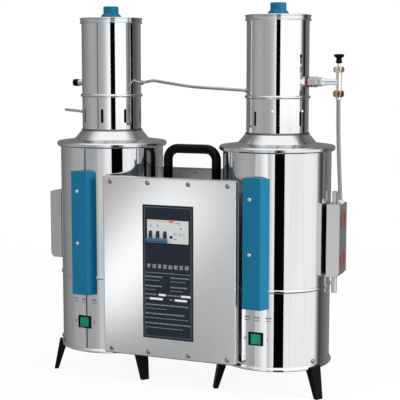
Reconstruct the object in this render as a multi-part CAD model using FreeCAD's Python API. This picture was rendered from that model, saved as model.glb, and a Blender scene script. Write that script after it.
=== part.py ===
import FreeCAD, Part
import math
import os

Vector = FreeCAD.Vector

# A twin-tower electric water distiller. Millimetres. X runs from the left tower to the right one,
# the front faces -Y and Z is up from the bench. Each tower is drawn about its own axis and then
# moved to its side. Azimuths are degrees from the front, positive towards +X.

# Sheet and clearances
sheet = 1.2                  # steel sheet of the towers
panel_sheet = 1.5            # steel sheet of the control box
slip_gap = 0.1               # between pieces that are fixed to each other
free_gap = 0.3               # between pieces that move past each other
pivot_gap = 0.05             # radial clearance of pins and buttons that run in a bore
past = 5.0                   # how far a cut reaches past the faces it goes through

# Towers
boiler_r = 106.0
tower_gap = 150.0            # between the two boilers' walls
leg_height = 56.0            # bench to the lower edge of the boiler's rim
rim_proud = 4.0              # rim beyond the boiler's wall
rim_tall = 8.0
rim_edge = 1.5
skirt_tall = 154.5           # rim's lower edge to the seam of skirt and boiler
seam_gap = 2.0               # groove between skirt and boiler
joggle_tall = 20.0           # stepped ring inside the seam
boiler_tall = 265.5          # seam to the top of the boiler's wall
boiler_floor_rise = 12.0     # boiler's bottom above the seam
skirt_floor_rise = 2.0       # skirt's floor above the rim's lower edge

# Boiler lid: a rolled band, a nearly flat ring and a cone up to the neck
lid_band_proud = 7.3         # band beyond the boiler's wall
lid_band_tall = 10.0
lid_band_roll = 2.6
lid_lap = 4.0                # how far the band reaches down over the boiler's wall
lid_ring_rise = 4.5
cone_run = 16.2              # cone's base beyond the neck's wall
cone_tall = 19.5

# Neck, condenser and its lid
neck_r = 60.8
neck_tall = 66.0
slot_count = 8
slot_wide = 5.5
slot_tall = 28.5
slot_rise = 28.5             # neck's lower edge to the middle of its slots
slot_azimuth = {"left": 8.5, "right": 19.5}
bead_r = 3.3                 # half-round bead where the condenser meets the neck
condenser_tall = 150.5
cap_band_r = 64.2
cap_band_tall = 11.0
cap_ridge_tall = 3.4
cap_ridge_step = 1.2
cap_edge = 0.8
cap_seat = 2.0               # width of the lid's seat on the condenser's wall
collar_r = 27.0
collar_top_r = 21.0
collar_tall = 3.0
core_tube_r = 8.0
core_tube_wall = 1.0
core_tube_circle_r = 36.0
core_tube_count = 6          # on the circle, with one more in the middle
core_plate = 3.0
core_inset = 8.0             # tube plates inside the condenser's two ends
guard_r = 52.0               # splash guard behind the neck's slots
guard_rise = 4.0             # guard's lower edge above the neck's

# Blue push-fit vent cap
vent_flare_r = 20.8
vent_r = 15.6
vent_flare_tall = 6.5
vent_tall = 20.5
vent_plug_r = 12.0
vent_plug_long = 12.0
vent_edge = 1.2

# Legs and their screws
leg_count = 3
leg_first_azimuth = {"left": -62.0, "right": -58.5}
leg_names = ("left", "right", "rear")
leg_top_wide = 27.0
leg_top_deep = 17.0
leg_top_proud = 8.0          # boiler's wall to the leg's outer face beside the rim
leg_lip_rise = 6.0           # leg's outer lip above the rim's lower edge
leg_foot_wide = 17.0
leg_foot_deep = 9.0
leg_splay = 20.0             # boiler's wall to the foot's outer edge
leg_edge_r = 1.5
tongue_wide = 22.0
tongue_deep = 8.0
tongue_tall = 26.0
leg_screw_rise = 15.0        # above the rim's lower edge
leg_screw_head_r = 4.8
leg_screw_head_tall = 3.2
leg_screw_shank_r = 2.4

# Blue gauge cover, one on the front of each tower
front_azimuth = {"left": -6.1, "right": -3.75}
cover_tall = 250.5
cover_drop = 33.5            # cover's lower edge below the seam
cover_deep = 17.0
cover_face_half = 17.9
cover_base_half = 26.4
cover_wall = 2.0
cover_arch = 3.0             # rise of the cover's upper edge at its middle
cover_screw_rises = (104.0, 209.0)
cover_screw_offset = -4.0
cover_screw_head_r = 3.4
cover_screw_head_tall = 2.0
cover_screw_shank_r = 1.8

# Rocker switch, below each cover
switch_azimuth = {"left": -6.4, "right": -2.0}
switch_drop = 92.5           # switch's middle below the seam
bezel_half_wide = 14.75
bezel_half_tall = 12.6
bezel_proud = 2.2
bezel_lip = 1.5              # bezel's overlap on the skirt, all round
bezel_wall = 1.0
bezel_deep = 20.0
rocker_pivot_depth = 4.0     # pivot behind the skirt's surface
rocker_face_rise = 8.0       # face's two ends in front of the pivot
rocker_dip = 2.0             # how much lower the face is at its middle
rocker_back = 7.0
rocker_pin_r = 1.5
rocker_pin_seat = 0.75       # how far the pin goes into the bezel's wall
rocker_tilt = 11.0           # at rest, to one side of the middle

# Terminal boxes and heating elements at the towers' outer sides
box_deep = 26.5
box_half_wide = 26.0
box_rise = 21.5              # box's lower edge above the seam
box_tall = 141.0
box_chamfer = 7.0
box_wall = 1.5
gasket_inset = 7.0
gasket_thick = 3.0           # at its thinnest, between the boiler and the box
heater_rises = (34.0, 110.0)     # above the box's lower edge
heater_shaft_r = 12.0
heater_nut_r = 17.0
heater_nut_deep = 5.0
heater_loop_r = 4.0
heater_loop_half = 7.5
heater_clear = 52.0          # loop's straight runs end this far from the opposite wall
heater_root = 8.0            # how far the shaft goes inside the boiler's wall

# Control box between the towers
panel_short = 40.0           # panel's edge short of the tower's axis
panel_rise = 8.0             # panel's lower edge above the rim's lower edge
panel_tall = 356.0
panel_proud = 14.0           # panel's face in front of the boilers
panel_flange = 16.0
panel_corner_r = 5.0
panel_bend_r = 2.5
panel_screw_margin = 17.0    # outer screws from the panel's side edges
panel_screw_spread = 43.0    # inner screws from the middle
panel_screw_inset = 10.3     # from the panel's upper and lower edges
panel_screw_head_r = 5.0
panel_screw_head_tall = 2.6
panel_screw_shank_r = 2.4
panel_screw_long = 2.0 * panel_sheet
chassis_clear = 5.0          # between the chassis column and the boilers
chassis_margin = 2.0         # chassis plates inside the panels' flanges
chassis_border = 26.0        # width of the plates behind the panels' edges
deck_drop = 35.0             # deck below the panels' upper edge
saddle_half_wide = 25.0
saddle_tall = 40.0
saddle_rises = (60.0, 250.0)     # above the panel's lower edge
cable_hole_r = 11.0
cable_hole_x = 50.0
cable_hole_rise = 60.0

# Data plate and breaker
plate_half_wide = 53.7
plate_rise = 39.0            # plate's lower edge above the panel's
plate_head = 29.0            # breaker's face to the plate's upper edge
plate_thick = 0.8
breaker_half_wide = 44.0
breaker_nose_half_tall = 22.5
breaker_drop = 69.0          # breaker's middle below the deck
breaker_window_gap = 0.4
breaker_nose_deep = 17.0
breaker_body_half_tall = 42.5
breaker_body_deep = 43.0
breaker_proud = 0.5          # breaker's face in front of the panel's face
rail_half_tall = 17.5
rail_deep = 7.5
rail_sheet = 1.0
rail_lip = 5.0

# Breaker's three levers, joined by a bar
lever_xs = (-37.0, -21.5, -6.0)
lever_drop = 8.0             # pivot below the breaker's middle
lever_pivot_depth = 6.0
lever_drum_r = 8.0
lever_half_wide = 3.2
lever_half_thick = 2.2
lever_reach = 17.5
lever_bar_deep = 5.0
lever_bar_half_thick = 2.5
lever_bar_margin = 7.0
lever_pin_r = 1.5
lever_rest = 40.0            # below straight out
lever_side_gap = 0.5

# Breaker's test button
button_x = 7.8
button_drop = 10.2
button_r = 2.6
button_proud = 1.5
button_long = 5.5
button_travel = 1.2

# Handle
handle_tube_r = 9.5
handle_half_span = 53.0      # middle of the object to each leg's centreline
handle_rise = 49.0           # grip's centreline above the panels' upper edge
handle_bend_r = 22.0
handle_foot_r = 15.0
handle_foot_tall = 4.0

# Water transfer tube between the condensers, as heights above the bead
transfer_r = 3.0
transfer_bend_r = 30.0
transfer_bend_share = 0.3    # share of the shorter run that the gentle middle bend takes
transfer_leave = 104.0       # azimuth at which the tube leaves the left condenser
transfer_rises = (27.3, 33.8, 22.0, 14.6)
transfer_peak_reach = 28.7   # left condenser's wall to the tube's peak
transfer_peak_y = -1.0       # peak behind the tube's left end
transfer_middle_x = -2.8
transfer_middle_y = -4.0
transfer_sleeve_r = 4.6
transfer_sleeve_long = 6.0

# Overflow nipple and outlet barb at the left tower's outer side
nipple_rise = 29.0           # above the bead
nipple_r = 6.4
nipple_bore_r = 4.0
nipple_long = 16.0
nipple_cap_r = 7.4
nipple_cap_long = 12.0
nipple_cap_end = 3.0         # thickness of the cap's closed end
nipple_cap_edge = 1.5
nipple_flange_r = 8.2
nipple_flange_thick = 3.0
barb_rise = 34.0             # above the neck's lower edge
barb_r = 3.3
barb_bore_r = 1.6
barb_long = 50.0
barb_ribbed_long = 40.0
barb_rib_count = 7
barb_rib_depth = 0.8
barb_tilt = 5.0
wall_reach = 6.0             # how far a pipe ends inside a tower's wall

# Water inlet on the right tower: union, needle valve and braided hose
valve_rise = 32.5            # above the bead
inlet_gasket_r = 10.8
inlet_gasket_thick = 2.3
union_flats = 17.8
union_long = 17.0
union_neck_flats = 15.6
union_neck_long = 9.0
union_cone_long = 8.0
union_cone_low_r = 7.3
union_cone_high_r = 6.6
union_shank_r = 6.0
union_bore_r = 3.6
valve_pipe_r = 5.9
valve_clear = 16.0           # boiler's wall to the valve's own axis
valve_tube_r = 5.3
valve_bore_r = 2.9
valve_up = 18.0
valve_down = 19.0
nut_flats = 18.0
nut_ball_r = 11.2            # ball that rounds the nuts' corners
packing_nut_tall = 11.0
hose_nut_tall = 12.7
hose_nut_lap = 3.0           # how far the hose nut grips the valve's tube
stem_r = 2.5
stem_down = 18.0             # stem's end below the valve tube's top
stem_gap = 6.0               # bare stem between packing nut and knob
knob_tall = 17.8
knob_neck_r = 5.8
knob_neck_tall = 5.0
knob_waist_r = 4.9
knob_waist_rise = 9.5
knob_r = 9.8
knob_head_tall = 5.0
knob_edge = 1.0
knob_dome_r = 6.0
knob_socket = 9.5
hose_r = 4.0
ferrule_r = 5.3
ferrule_tall = 5.5
hose_bend_share = 0.45       # share of the shorter run that each bend of the hose takes
box_ferrule_tall = 7.0
box_ferrule_flats = 12.7
box_ferrule_hex_tall = 3.2

# The hose's route, from the hose nut down to the terminal box
hose_shares = (0.0, 1.0 / 12.0, 17.0 / 30.0, 1.0)    # of the way out from the valve's axis to the foot
hose_foot_inset = 7.5            # box's outer face to the hose's foot
hose_y = (0.0, 0.3, 0.9, 2.0)
hose_fall = (0.0, 62.0, 130.0)   # below the hose nut's ferrule

# Plain stubs on the right terminal box
stub_y = 8.0
stub_inset = 19.3            # box's outer face to the stubs' axis
stub_r = 5.4
stub_tall = 22.0
drain_long = 36.0
drain_bore_r = 4.0
drain_end = 4.0              # solid stretch at the drain stub's root

# Heights that follow
rim_z = leg_height
seam_z = rim_z + skirt_tall
boiler_top_z = seam_z + boiler_tall
lid_low_z = boiler_top_z - lid_lap
lid_band_top_z = lid_low_z + lid_band_tall
cone_base_z = lid_band_top_z + lid_ring_rise
neck_z = cone_base_z + cone_tall
bead_z = neck_z + neck_tall
condenser_top_z = bead_z + condenser_tall
cap_z = condenser_top_z - sheet
cap_top_z = cap_z + cap_band_tall
collar_top_z = cap_top_z + collar_tall
panel_z = rim_z + panel_rise
panel_top_z = panel_z + panel_tall
deck_z = panel_top_z - deck_drop
box_z = seam_z + box_rise
box_top_z = box_z + box_tall
switch_z = seam_z - switch_drop
cover_z = seam_z - cover_drop
breaker_z = deck_z - breaker_drop
plate_z = panel_z + plate_rise
plate_top_z = breaker_z + breaker_nose_half_tall + plate_head
valve_z = bead_z + valve_rise

# Other places that follow
wall_in_r = boiler_r - sheet
neck_in_r = neck_r - sheet
rim_r = boiler_r + rim_proud
lid_band_r = boiler_r + lid_band_proud
cone_base_r = neck_r + cone_run
tower_x = boiler_r + tower_gap / 2.0
leg_top_reach = boiler_r + leg_top_proud
leg_foot_reach = boiler_r + leg_splay
heater_reach = boiler_r * 2.0 - heater_clear
panel_half_wide = tower_x - panel_short
panel_front = boiler_r + panel_proud
panel_screw_x = panel_half_wide - panel_screw_margin
panel_screw_xs = (-panel_screw_x, -panel_screw_spread, panel_screw_spread, panel_screw_x)
chassis_half_wide = tower_gap / 2.0 - chassis_clear
valve_reach = boiler_r + valve_clear
nose_front = panel_front + breaker_proud
lever_pivot_y = -(nose_front - lever_pivot_depth)
lever_pivot_z = breaker_z - lever_drop
rocker_pivot_y = -(boiler_r - rocker_pivot_depth)
box_face_reach = boiler_r + gasket_thick + box_deep
stub_x = tower_x + box_face_reach - stub_inset
valve_x = tower_x + valve_reach
hose_foot_x = tower_x + box_face_reach - hose_foot_inset
hose_x = [valve_x + share * (hose_foot_x - valve_x) for share in hose_shares]
rocker_half_wide = bezel_half_wide - bezel_lip - bezel_wall - free_gap
rocker_half_tall = bezel_half_tall - bezel_lip - bezel_wall - free_gap
valve_top_z = valve_z + valve_up
knob_z = valve_top_z + packing_nut_tall + stem_gap
hose_nut_z = valve_z - valve_down - hose_nut_tall + hose_nut_lap
hose_top_z = hose_nut_z - ferrule_tall

# The frame's origin is midway between the foremost and the rearmost point
lever_angle = math.radians(lever_rest)
lever_tip = lever_reach * math.cos(lever_angle) + lever_bar_half_thick * math.sin(lever_angle)
front_reach = -lever_pivot_y + lever_tip
frame_shift = (front_reach - leg_foot_reach) / 2.0

UP = Vector(0, 0, 1)
ORIGIN = Vector(0, 0, 0)


def block(x_low, x_high, y_low, y_high, z_low, z_high):
    size = (x_high - x_low, y_high - y_low, z_high - z_low)
    return Part.makeBox(*size, Vector(x_low, y_low, z_low))


def disc(radius, z_low, z_high):
    return Part.makeCylinder(radius, z_high - z_low, Vector(0, 0, z_low))


def ring(outer_r, inner_r, z_low, z_high):
    return disc(outer_r, z_low, z_high).cut(disc(inner_r, z_low, z_high))


def rod(radius, start, end):
    line = end - start
    return Part.makeCylinder(radius, line.Length, start, line)


def cone(low_r, high_r, start, end):
    line = end - start
    return Part.makeCone(low_r, high_r, line.Length, start, line)


def turned(outline):
    """Solid turned about Z from (radius, height) corners."""
    corners = [Vector(radius, 0, height) for radius, height in outline]
    face = Part.Face(Part.makePolygon(corners + corners[:1]))
    return face.revolve(ORIGIN, UP, 360)


def hexagon(flats, start, end):
    """Hexagonal bar from start to end, with two flats level or facing the front."""
    line = end - start
    corner_r = flats / 2.0 / math.cos(math.radians(30))
    angles = [math.radians(60 * step) for step in range(6)]
    corners = [Vector(corner_r * math.cos(a), corner_r * math.sin(a), 0) for a in angles]
    prism = Part.Face(Part.makePolygon(corners + corners[:1])).extrude(Vector(0, 0, line.Length))
    prism.Placement = FreeCAD.Placement(start, FreeCAD.Rotation(UP, line))
    return prism


def joined(shapes):
    whole = shapes[0].multiFuse(shapes[1:])
    return whole.removeSplitter()


def facing(shape, azimuth):
    """Turns a shape drawn at the front to another azimuth of its tower."""
    copy = shape.copy()
    copy.rotate(ORIGIN, UP, azimuth)
    return copy


def screw(head_r, head_tall, shank_r, shank_long):
    """Domed screw whose head points to -Y and whose seat is the plane y = 0."""
    ball_r = (head_r ** 2 + head_tall ** 2) / (2.0 * head_tall)
    ball = Part.makeSphere(ball_r, Vector(0, ball_r - head_tall, 0))
    head = ball.common(rod(head_r, Vector(0, -head_tall, 0), Vector(0, 0, 0)))
    return head.fuse(rod(shank_r, Vector(0, -head_tall / 2.0, 0), Vector(0, shank_long, 0)))


def bend_radius(before, corner, after, share):
    """Radius of the arc that takes a share of the shorter run at a corner."""
    first = corner - before
    second = after - corner
    half_turn = first.getAngle(second) / 2.0
    return share * min(first.Length, second.Length) / math.tan(half_turn)


def pipe(points, radii, pipe_r):
    """Round bar along straight runs joined by tangent arcs."""
    edges = []
    last = points[0]
    for before, corner, after, radius in zip(points, points[1:], points[2:], radii):
        first = (corner - before).normalize()
        second = (after - corner).normalize()
        half_turn = first.getAngle(second) / 2.0
        setback = radius * math.tan(half_turn)
        begin = corner - first * setback
        end = corner + second * setback
        inward = (second - first).normalize()
        middle = corner + inward * (radius / math.cos(half_turn) - radius)
        edges.append(Part.LineSegment(last, begin).toShape())
        edges.append(Part.Arc(begin, middle, end).toShape())
        last = end
    edges.append(Part.LineSegment(last, points[-1]).toShape())
    path = Part.Wire(edges)
    start_way = points[1] - points[0]
    section = Part.Wire(Part.makeCircle(pipe_r, points[0], start_way))
    return path.makePipeShell([section], True, True)


def save(node, shape):
    solids = shape.Solids
    placed = Part.Compound(solids) if len(solids) > 1 else solids[0].copy()
    placed.translate(Vector(0, frame_shift, 0))
    placed.exportStep("parts/" + node + ".step")
    print(f"{node:24s} solids {len(solids):2d} valid {placed.isValid()} volume {placed.Volume:.0f}")


def save_on_tower(side, node, shape):
    placed = shape.copy()
    placed.translate(Vector(tower_x if side == "right" else -tower_x, 0, 0))
    save(side + "_" + node, placed)


def outward(side, shape):
    """Turns a shape drawn towards +X to the tower's outer side."""
    return facing(shape, 0.0 if side == "right" else 180.0)


# Tower shells

def leg_azimuths(side):
    return [leg_first_azimuth[side] + 360.0 / leg_count * step for step in range(leg_count)]


def leg_tongue(extra):
    """Upright of a leg inside the skirt, grown by extra on each side."""
    outer = wall_in_r - slip_gap
    tongue = block(-tongue_wide / 2.0 - extra, tongue_wide / 2.0 + extra, -boiler_r,
                   -(outer - tongue_deep - extra), rim_z, rim_z + tongue_tall)
    return tongue.common(disc(outer + extra, rim_z, rim_z + tongue_tall))


def switch_hole(side):
    half_wide = bezel_half_wide - bezel_lip + slip_gap
    half_tall = bezel_half_tall - bezel_lip + slip_gap
    hole = block(-half_wide, half_wide, -boiler_r - sheet, -boiler_r + bezel_deep,
                 switch_z - half_tall, switch_z + half_tall)
    return facing(hole, switch_azimuth[side])


def cover_screw_spots():
    return [(cover_screw_offset, cover_z + rise) for rise in cover_screw_rises]


def make_skirt(side):
    wall_top = seam_z - seam_gap / 2.0
    joggle_r = wall_in_r - slip_gap
    wall = ring(boiler_r, wall_in_r, rim_z, wall_top)
    roll = rim_tall / 2.0
    rim = turned([(wall_in_r, rim_z), (rim_r - rim_edge, rim_z), (rim_r, rim_z + rim_edge),
                  (rim_r, rim_z + roll), (boiler_r + sheet, rim_z + rim_tall),
                  (wall_in_r, rim_z + rim_tall)])
    joggle_low = seam_z - joggle_tall / 2.0
    joggle = ring(joggle_r, joggle_r - sheet, joggle_low, joggle_low + joggle_tall)
    weld = ring(wall_in_r + sheet / 2.0, joggle_r - sheet, joggle_low, joggle_low + sheet)
    floor = disc(wall_in_r + sheet / 2.0, rim_z + skirt_floor_rise, rim_z + skirt_floor_rise + sheet)
    screw_line = rod(leg_screw_shank_r + slip_gap, Vector(0, -rim_r, rim_z + leg_screw_rise),
                     Vector(0, -wall_in_r + sheet, rim_z + leg_screw_rise))
    skirt = joined([wall, rim, joggle, weld, floor])
    for azimuth in leg_azimuths(side):
        skirt = skirt.cut(facing(leg_tongue(slip_gap), azimuth).common(disc(wall_in_r, 0, wall_top)))
        skirt = skirt.cut(facing(screw_line, azimuth))
    skirt = skirt.cut(switch_hole(side))
    save_on_tower(side, "boiler_skirt", skirt)


def make_boiler_shell(side):
    low = seam_z + seam_gap / 2.0
    wall = ring(boiler_r, wall_in_r, low, boiler_top_z)
    floor_z = seam_z + boiler_floor_rise
    floor = disc(wall_in_r + sheet / 2.0, floor_z, floor_z + sheet)
    shell = joined([wall, floor])
    for rise in heater_rises:
        z = box_z + rise
        hole = rod(heater_shaft_r + slip_gap, Vector(wall_in_r - past, 0, z),
                   Vector(boiler_r + past, 0, z))
        shell = shell.cut(outward(side, hole))
    for x, z in cover_screw_spots():
        hole = rod(cover_screw_shank_r + slip_gap, Vector(x, -boiler_r - past, z),
                   Vector(x, -wall_in_r + past, z))
        shell = shell.cut(facing(hole, front_azimuth[side]))
    save_on_tower(side, "boiler_shell", shell)


def make_boiler_lid(side):
    roll = lid_band_roll
    lid = turned([
        (boiler_r + slip_gap, lid_low_z), (lid_band_r - roll, lid_low_z),
        (lid_band_r, lid_low_z + roll), (lid_band_r, lid_band_top_z - roll),
        (lid_band_r - roll, lid_band_top_z), (cone_base_r, cone_base_z), (neck_r, neck_z),
        (neck_in_r, neck_z), (cone_base_r - sheet, cone_base_z - sheet),
        (boiler_r + slip_gap, boiler_top_z)])
    save_on_tower(side, "boiler_lid", lid)


def barb_line():
    """Foot and tip of the outlet barb's centreline, drawn towards +X."""
    tilt = math.radians(barb_tilt)
    way = Vector(math.cos(tilt), 0, math.sin(tilt))
    foot = Vector(neck_r, 0, neck_z + barb_rise)
    return foot - way * wall_reach, foot + way * barb_long


def make_neck(side):
    neck = ring(neck_r, neck_in_r, neck_z, bead_z)
    middle = neck_z + slot_rise
    half = slot_wide / 2.0
    straight = slot_tall / 2.0 - half
    near = -neck_r - past
    far = -neck_in_r + past
    slot = block(-half, half, near, far, middle - straight, middle + straight)
    ends = [rod(half, Vector(0, near, z), Vector(0, far, z))
            for z in (middle - straight, middle + straight)]
    slot = slot.multiFuse(ends)
    for step in range(slot_count):
        neck = neck.cut(facing(slot, slot_azimuth[side] + 360.0 / slot_count * step))
    if side == "left":
        neck = neck.cut(outward(side, rod(barb_r + slip_gap, *barb_line())))
    save_on_tower(side, "condenser_neck", neck)


def transfer_points():
    """Centreline of the transfer tube, in the whole object's frame."""
    reach = neck_r - wall_reach
    leave = math.radians(transfer_leave)
    heights = [bead_z + rise for rise in transfer_rises]
    left_wall = Vector(-tower_x + reach * math.sin(leave), -reach * math.cos(leave), heights[0])
    peak = Vector(-tower_x + neck_r + transfer_peak_reach, left_wall.y + transfer_peak_y, heights[1])
    middle = Vector(transfer_middle_x, transfer_middle_y, heights[2])
    right_wall = Vector(tower_x - reach, 0, heights[3])
    return [left_wall, peak, middle, right_wall]


def make_condenser_shell(side):
    wall = ring(neck_r, neck_in_r, bead_z, condenser_top_z)
    bead = Part.makeTorus(neck_r, bead_r, Vector(0, 0, bead_z + bead_r), UP)
    bead = bead.cut(disc(neck_in_r, bead_z - past, bead_z + 2.0 * bead_r + past))
    shell = joined([wall, bead])
    points = transfer_points()
    here = Vector(tower_x if side == "right" else -tower_x, 0, 0)
    ends = (points[0], points[1]) if side == "left" else (points[3], points[2])
    shell = shell.cut(rod(transfer_r + slip_gap, ends[0] - here, ends[1] - here))
    z = bead_z + nipple_rise if side == "left" else valve_z
    hole_r = nipple_r if side == "left" else union_shank_r
    hole = rod(hole_r + slip_gap, Vector(neck_in_r - past, 0, z), Vector(neck_r + past, 0, z))
    shell = shell.cut(outward(side, hole))
    save_on_tower(side, "condenser_shell", shell)


def make_condenser_lid(side):
    ridge = cap_ridge_tall
    inner = neck_r + slip_gap
    waist = cap_band_r - cap_ridge_step
    hole_r = vent_plug_r + free_gap
    lid = turned([
        (inner, cap_z), (cap_band_r - cap_edge, cap_z), (cap_band_r, cap_z + cap_edge),
        (cap_band_r, cap_z + ridge - cap_edge), (waist, cap_z + ridge),
        (waist, cap_top_z - ridge), (cap_band_r, cap_top_z - ridge + cap_edge),
        (cap_band_r, cap_top_z - cap_edge), (cap_band_r - cap_edge, cap_top_z),
        (collar_r, cap_top_z), (collar_top_r, collar_top_z), (hole_r, collar_top_z),
        (hole_r, cap_top_z - sheet), (inner - cap_seat, cap_top_z - sheet),
        (inner - cap_seat, condenser_top_z), (inner, condenser_top_z)])
    save_on_tower(side, "condenser_lid", lid)


def make_vent_cap(side):
    low = collar_top_z + free_gap
    cap = turned([
        (0, low - vent_plug_long), (vent_plug_r - vent_edge, low - vent_plug_long),
        (vent_plug_r, low - vent_plug_long + vent_edge), (vent_plug_r, low),
        (vent_flare_r, low), (vent_flare_r, low + vent_edge), (vent_r, low + vent_flare_tall),
        (vent_r, low + vent_tall - vent_edge), (vent_r - vent_edge, low + vent_tall), (0, low + vent_tall)])
    save_on_tower(side, "vent_cap", cap)


def make_condenser_core(side):
    low = bead_z + core_inset
    high = condenser_top_z - core_inset
    plate_r = neck_in_r - slip_gap
    centres = [Vector(0, 0, 0)]
    for step in range(core_tube_count):
        angle = 2.0 * math.pi * step / core_tube_count
        centres.append(Vector(core_tube_circle_r * math.cos(angle),
                              core_tube_circle_r * math.sin(angle), 0))
    core = disc(plate_r, low, low + core_plate).fuse(disc(plate_r, high - core_plate, high))
    core = core.fuse(ring(guard_r, guard_r - core_tube_wall, neck_z + guard_rise, low + core_plate))
    for centre in centres:
        core = core.fuse(rod(core_tube_r, centre + UP * low, centre + UP * high))
    for centre in centres:
        bore = rod(core_tube_r - core_tube_wall, centre + UP * (low - 1.0), centre + UP * (high + 1.0))
        core = core.cut(bore)
    save_on_tower(side, "condenser_core", core.removeSplitter())


# Legs and fasteners

def rectangle(half_wide, y_low, y_high, z):
    corners = [Vector(-half_wide, y_low, z), Vector(half_wide, y_low, z),
               Vector(half_wide, y_high, z), Vector(-half_wide, y_high, z)]
    return Part.makePolygon(corners + corners[:1])


def make_legs(side):
    lip_z = rim_z + leg_lip_rise
    top = rectangle(leg_top_wide / 2.0, -leg_top_reach, leg_top_deep - leg_top_reach, lip_z)
    foot = rectangle(leg_foot_wide / 2.0, -leg_foot_reach, leg_foot_deep - leg_foot_reach, 0)
    leg = Part.makeLoft([foot, top], True, True)
    long_edges = [edge for edge in leg.Edges if edge.BoundBox.ZLength > leg_edge_r]
    leg = leg.makeFillet(leg_edge_r, long_edges).cut(disc(rim_r + slip_gap, rim_z, lip_z + 1.0))
    screw_z = rim_z + leg_screw_rise
    hole = rod(leg_screw_shank_r, Vector(0, -boiler_r, screw_z),
               Vector(0, -(wall_in_r - tongue_deep - past), screw_z))
    leg = joined([leg, leg_tongue(0.0)]).cut(hole)
    for name, azimuth in zip(leg_names, leg_azimuths(side)):
        save_on_tower(side, "leg_" + name, facing(leg, azimuth))


def make_leg_screws():
    screws = []
    for side, tower in (("left", -tower_x), ("right", tower_x)):
        for azimuth in leg_azimuths(side):
            one = screw(leg_screw_head_r, leg_screw_head_tall, leg_screw_shank_r, tongue_deep)
            one.translate(Vector(0, -boiler_r, rim_z + leg_screw_rise))
            one = facing(one, azimuth)
            one.translate(Vector(tower, 0, 0))
            screws.append(one)
    save("leg_screws", Part.Compound(screws))


# Gauge covers

def cover_prism(inset, low, high):
    """Cover's outer form, with each face moved in by inset."""
    face_y = -(boiler_r + cover_deep - inset)
    slope = math.atan2(cover_base_half - cover_face_half, cover_deep)
    sideways = inset / math.cos(slope)
    run = (cover_base_half - cover_face_half) / cover_deep
    face_half = cover_face_half - sideways + run * inset
    back_y = past - math.sqrt(boiler_r ** 2 - cover_base_half ** 2)
    back_half = face_half + run * (back_y - face_y)
    corners = [Vector(-face_half, face_y, low), Vector(face_half, face_y, low),
               Vector(back_half, back_y, low), Vector(-back_half, back_y, low)]
    prism = Part.Face(Part.makePolygon(corners + corners[:1])).extrude(Vector(0, 0, high - low))
    arch_r = (back_half ** 2 + cover_arch ** 2) / (2.0 * cover_arch)
    crown = rod(arch_r, Vector(0, face_y, high - arch_r), Vector(0, back_y, high - arch_r))
    flank = block(-back_half, back_half, face_y, back_y, low, high - 2.0 * cover_arch)
    return prism.common(crown.fuse(flank))


def make_gauge_cover(side):
    high = cover_z + cover_tall
    outer = cover_prism(0.0, cover_z, high)
    inner = cover_prism(cover_wall, cover_z + cover_wall, high - cover_wall)
    cover = outer.cut(inner).cut(disc(boiler_r + slip_gap, cover_z - 1.0, high + 1.0))
    for x, z in cover_screw_spots():
        post = rod(cover_screw_shank_r + cover_wall, Vector(x, -(boiler_r + cover_deep - cover_wall), z),
                   Vector(x, -boiler_r + past, z))
        cover = cover.fuse(post.cut(disc(boiler_r + slip_gap, cover_z, high)))
        cover = cover.cut(rod(cover_screw_shank_r, Vector(x, -boiler_r - cover_deep - past, z),
                              Vector(x, -boiler_r + past, z)))
    save_on_tower(side, "gauge_cover", facing(cover.removeSplitter(), front_azimuth[side]))


def make_cover_screws():
    screws = []
    for side, tower in (("left", -tower_x), ("right", tower_x)):
        for x, z in cover_screw_spots():
            one = screw(cover_screw_head_r, cover_screw_head_tall, cover_screw_shank_r,
                        cover_deep + sheet * 2.0)
            one.translate(Vector(x, -(boiler_r + cover_deep), z))
            one = facing(one, front_azimuth[side])
            one.translate(Vector(tower, 0, 0))
            screws.append(one)
    save("cover_screws", Part.Compound(screws))


# Rocker switches

def make_switch(side):
    lip_y = -(boiler_r + bezel_proud)
    back_y = -(boiler_r - bezel_deep)
    flange = block(-bezel_half_wide, bezel_half_wide, lip_y, -(boiler_r - past),
                   switch_z - bezel_half_tall, switch_z + bezel_half_tall)
    flange = flange.cut(disc(boiler_r, switch_z - bezel_half_tall - past, switch_z + bezel_half_tall + past))
    half_wide = bezel_half_wide - bezel_lip
    half_tall = bezel_half_tall - bezel_lip
    body = block(-half_wide, half_wide, lip_y, back_y, switch_z - half_tall, switch_z + half_tall)
    mouth = block(-half_wide + bezel_wall, half_wide - bezel_wall, lip_y, back_y - bezel_wall,
                  switch_z - half_tall + bezel_wall, switch_z + half_tall - bezel_wall)
    pin_reach = half_tall - bezel_wall + rocker_pin_seat
    pivot = Vector(0, rocker_pivot_y, switch_z)
    pin_hole = rod(rocker_pin_r + pivot_gap, pivot - UP * (pin_reach + pivot_gap),
                   pivot + UP * (pin_reach + pivot_gap))
    bezel = joined([flange, body]).cut(mouth).cut(pin_hole)
    save_on_tower(side, "switch_bezel", facing(bezel, switch_azimuth[side]))

    drum = Part.makeCylinder(rocker_half_wide, rocker_half_tall * 2.0,
                             pivot - UP * rocker_half_tall)
    face_y = rocker_pivot_y - rocker_face_rise
    wide = rocker_half_wide + past
    dip = rocker_dip * wide / math.sqrt(rocker_half_wide ** 2 - rocker_face_rise ** 2)
    middle_y = face_y + rocker_dip
    low = switch_z - rocker_half_tall
    corners = [Vector(-wide, middle_y - dip, low), Vector(0, middle_y, low),
               Vector(wide, middle_y - dip, low), Vector(wide, rocker_pivot_y + rocker_back, low),
               Vector(-wide, rocker_pivot_y + rocker_back, low)]
    tray = Part.Face(Part.makePolygon(corners + corners[:1]))
    rocker = drum.common(tray.extrude(UP * (rocker_half_tall * 2.0)))
    rocker = rocker.fuse(rod(rocker_pin_r, pivot - UP * pin_reach, pivot + UP * pin_reach))
    rocker.rotate(pivot, UP, rocker_tilt)
    save_on_tower(side, "switch_rocker", facing(rocker.removeSplitter(), switch_azimuth[side]))


# Terminal boxes and heating elements

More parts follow.
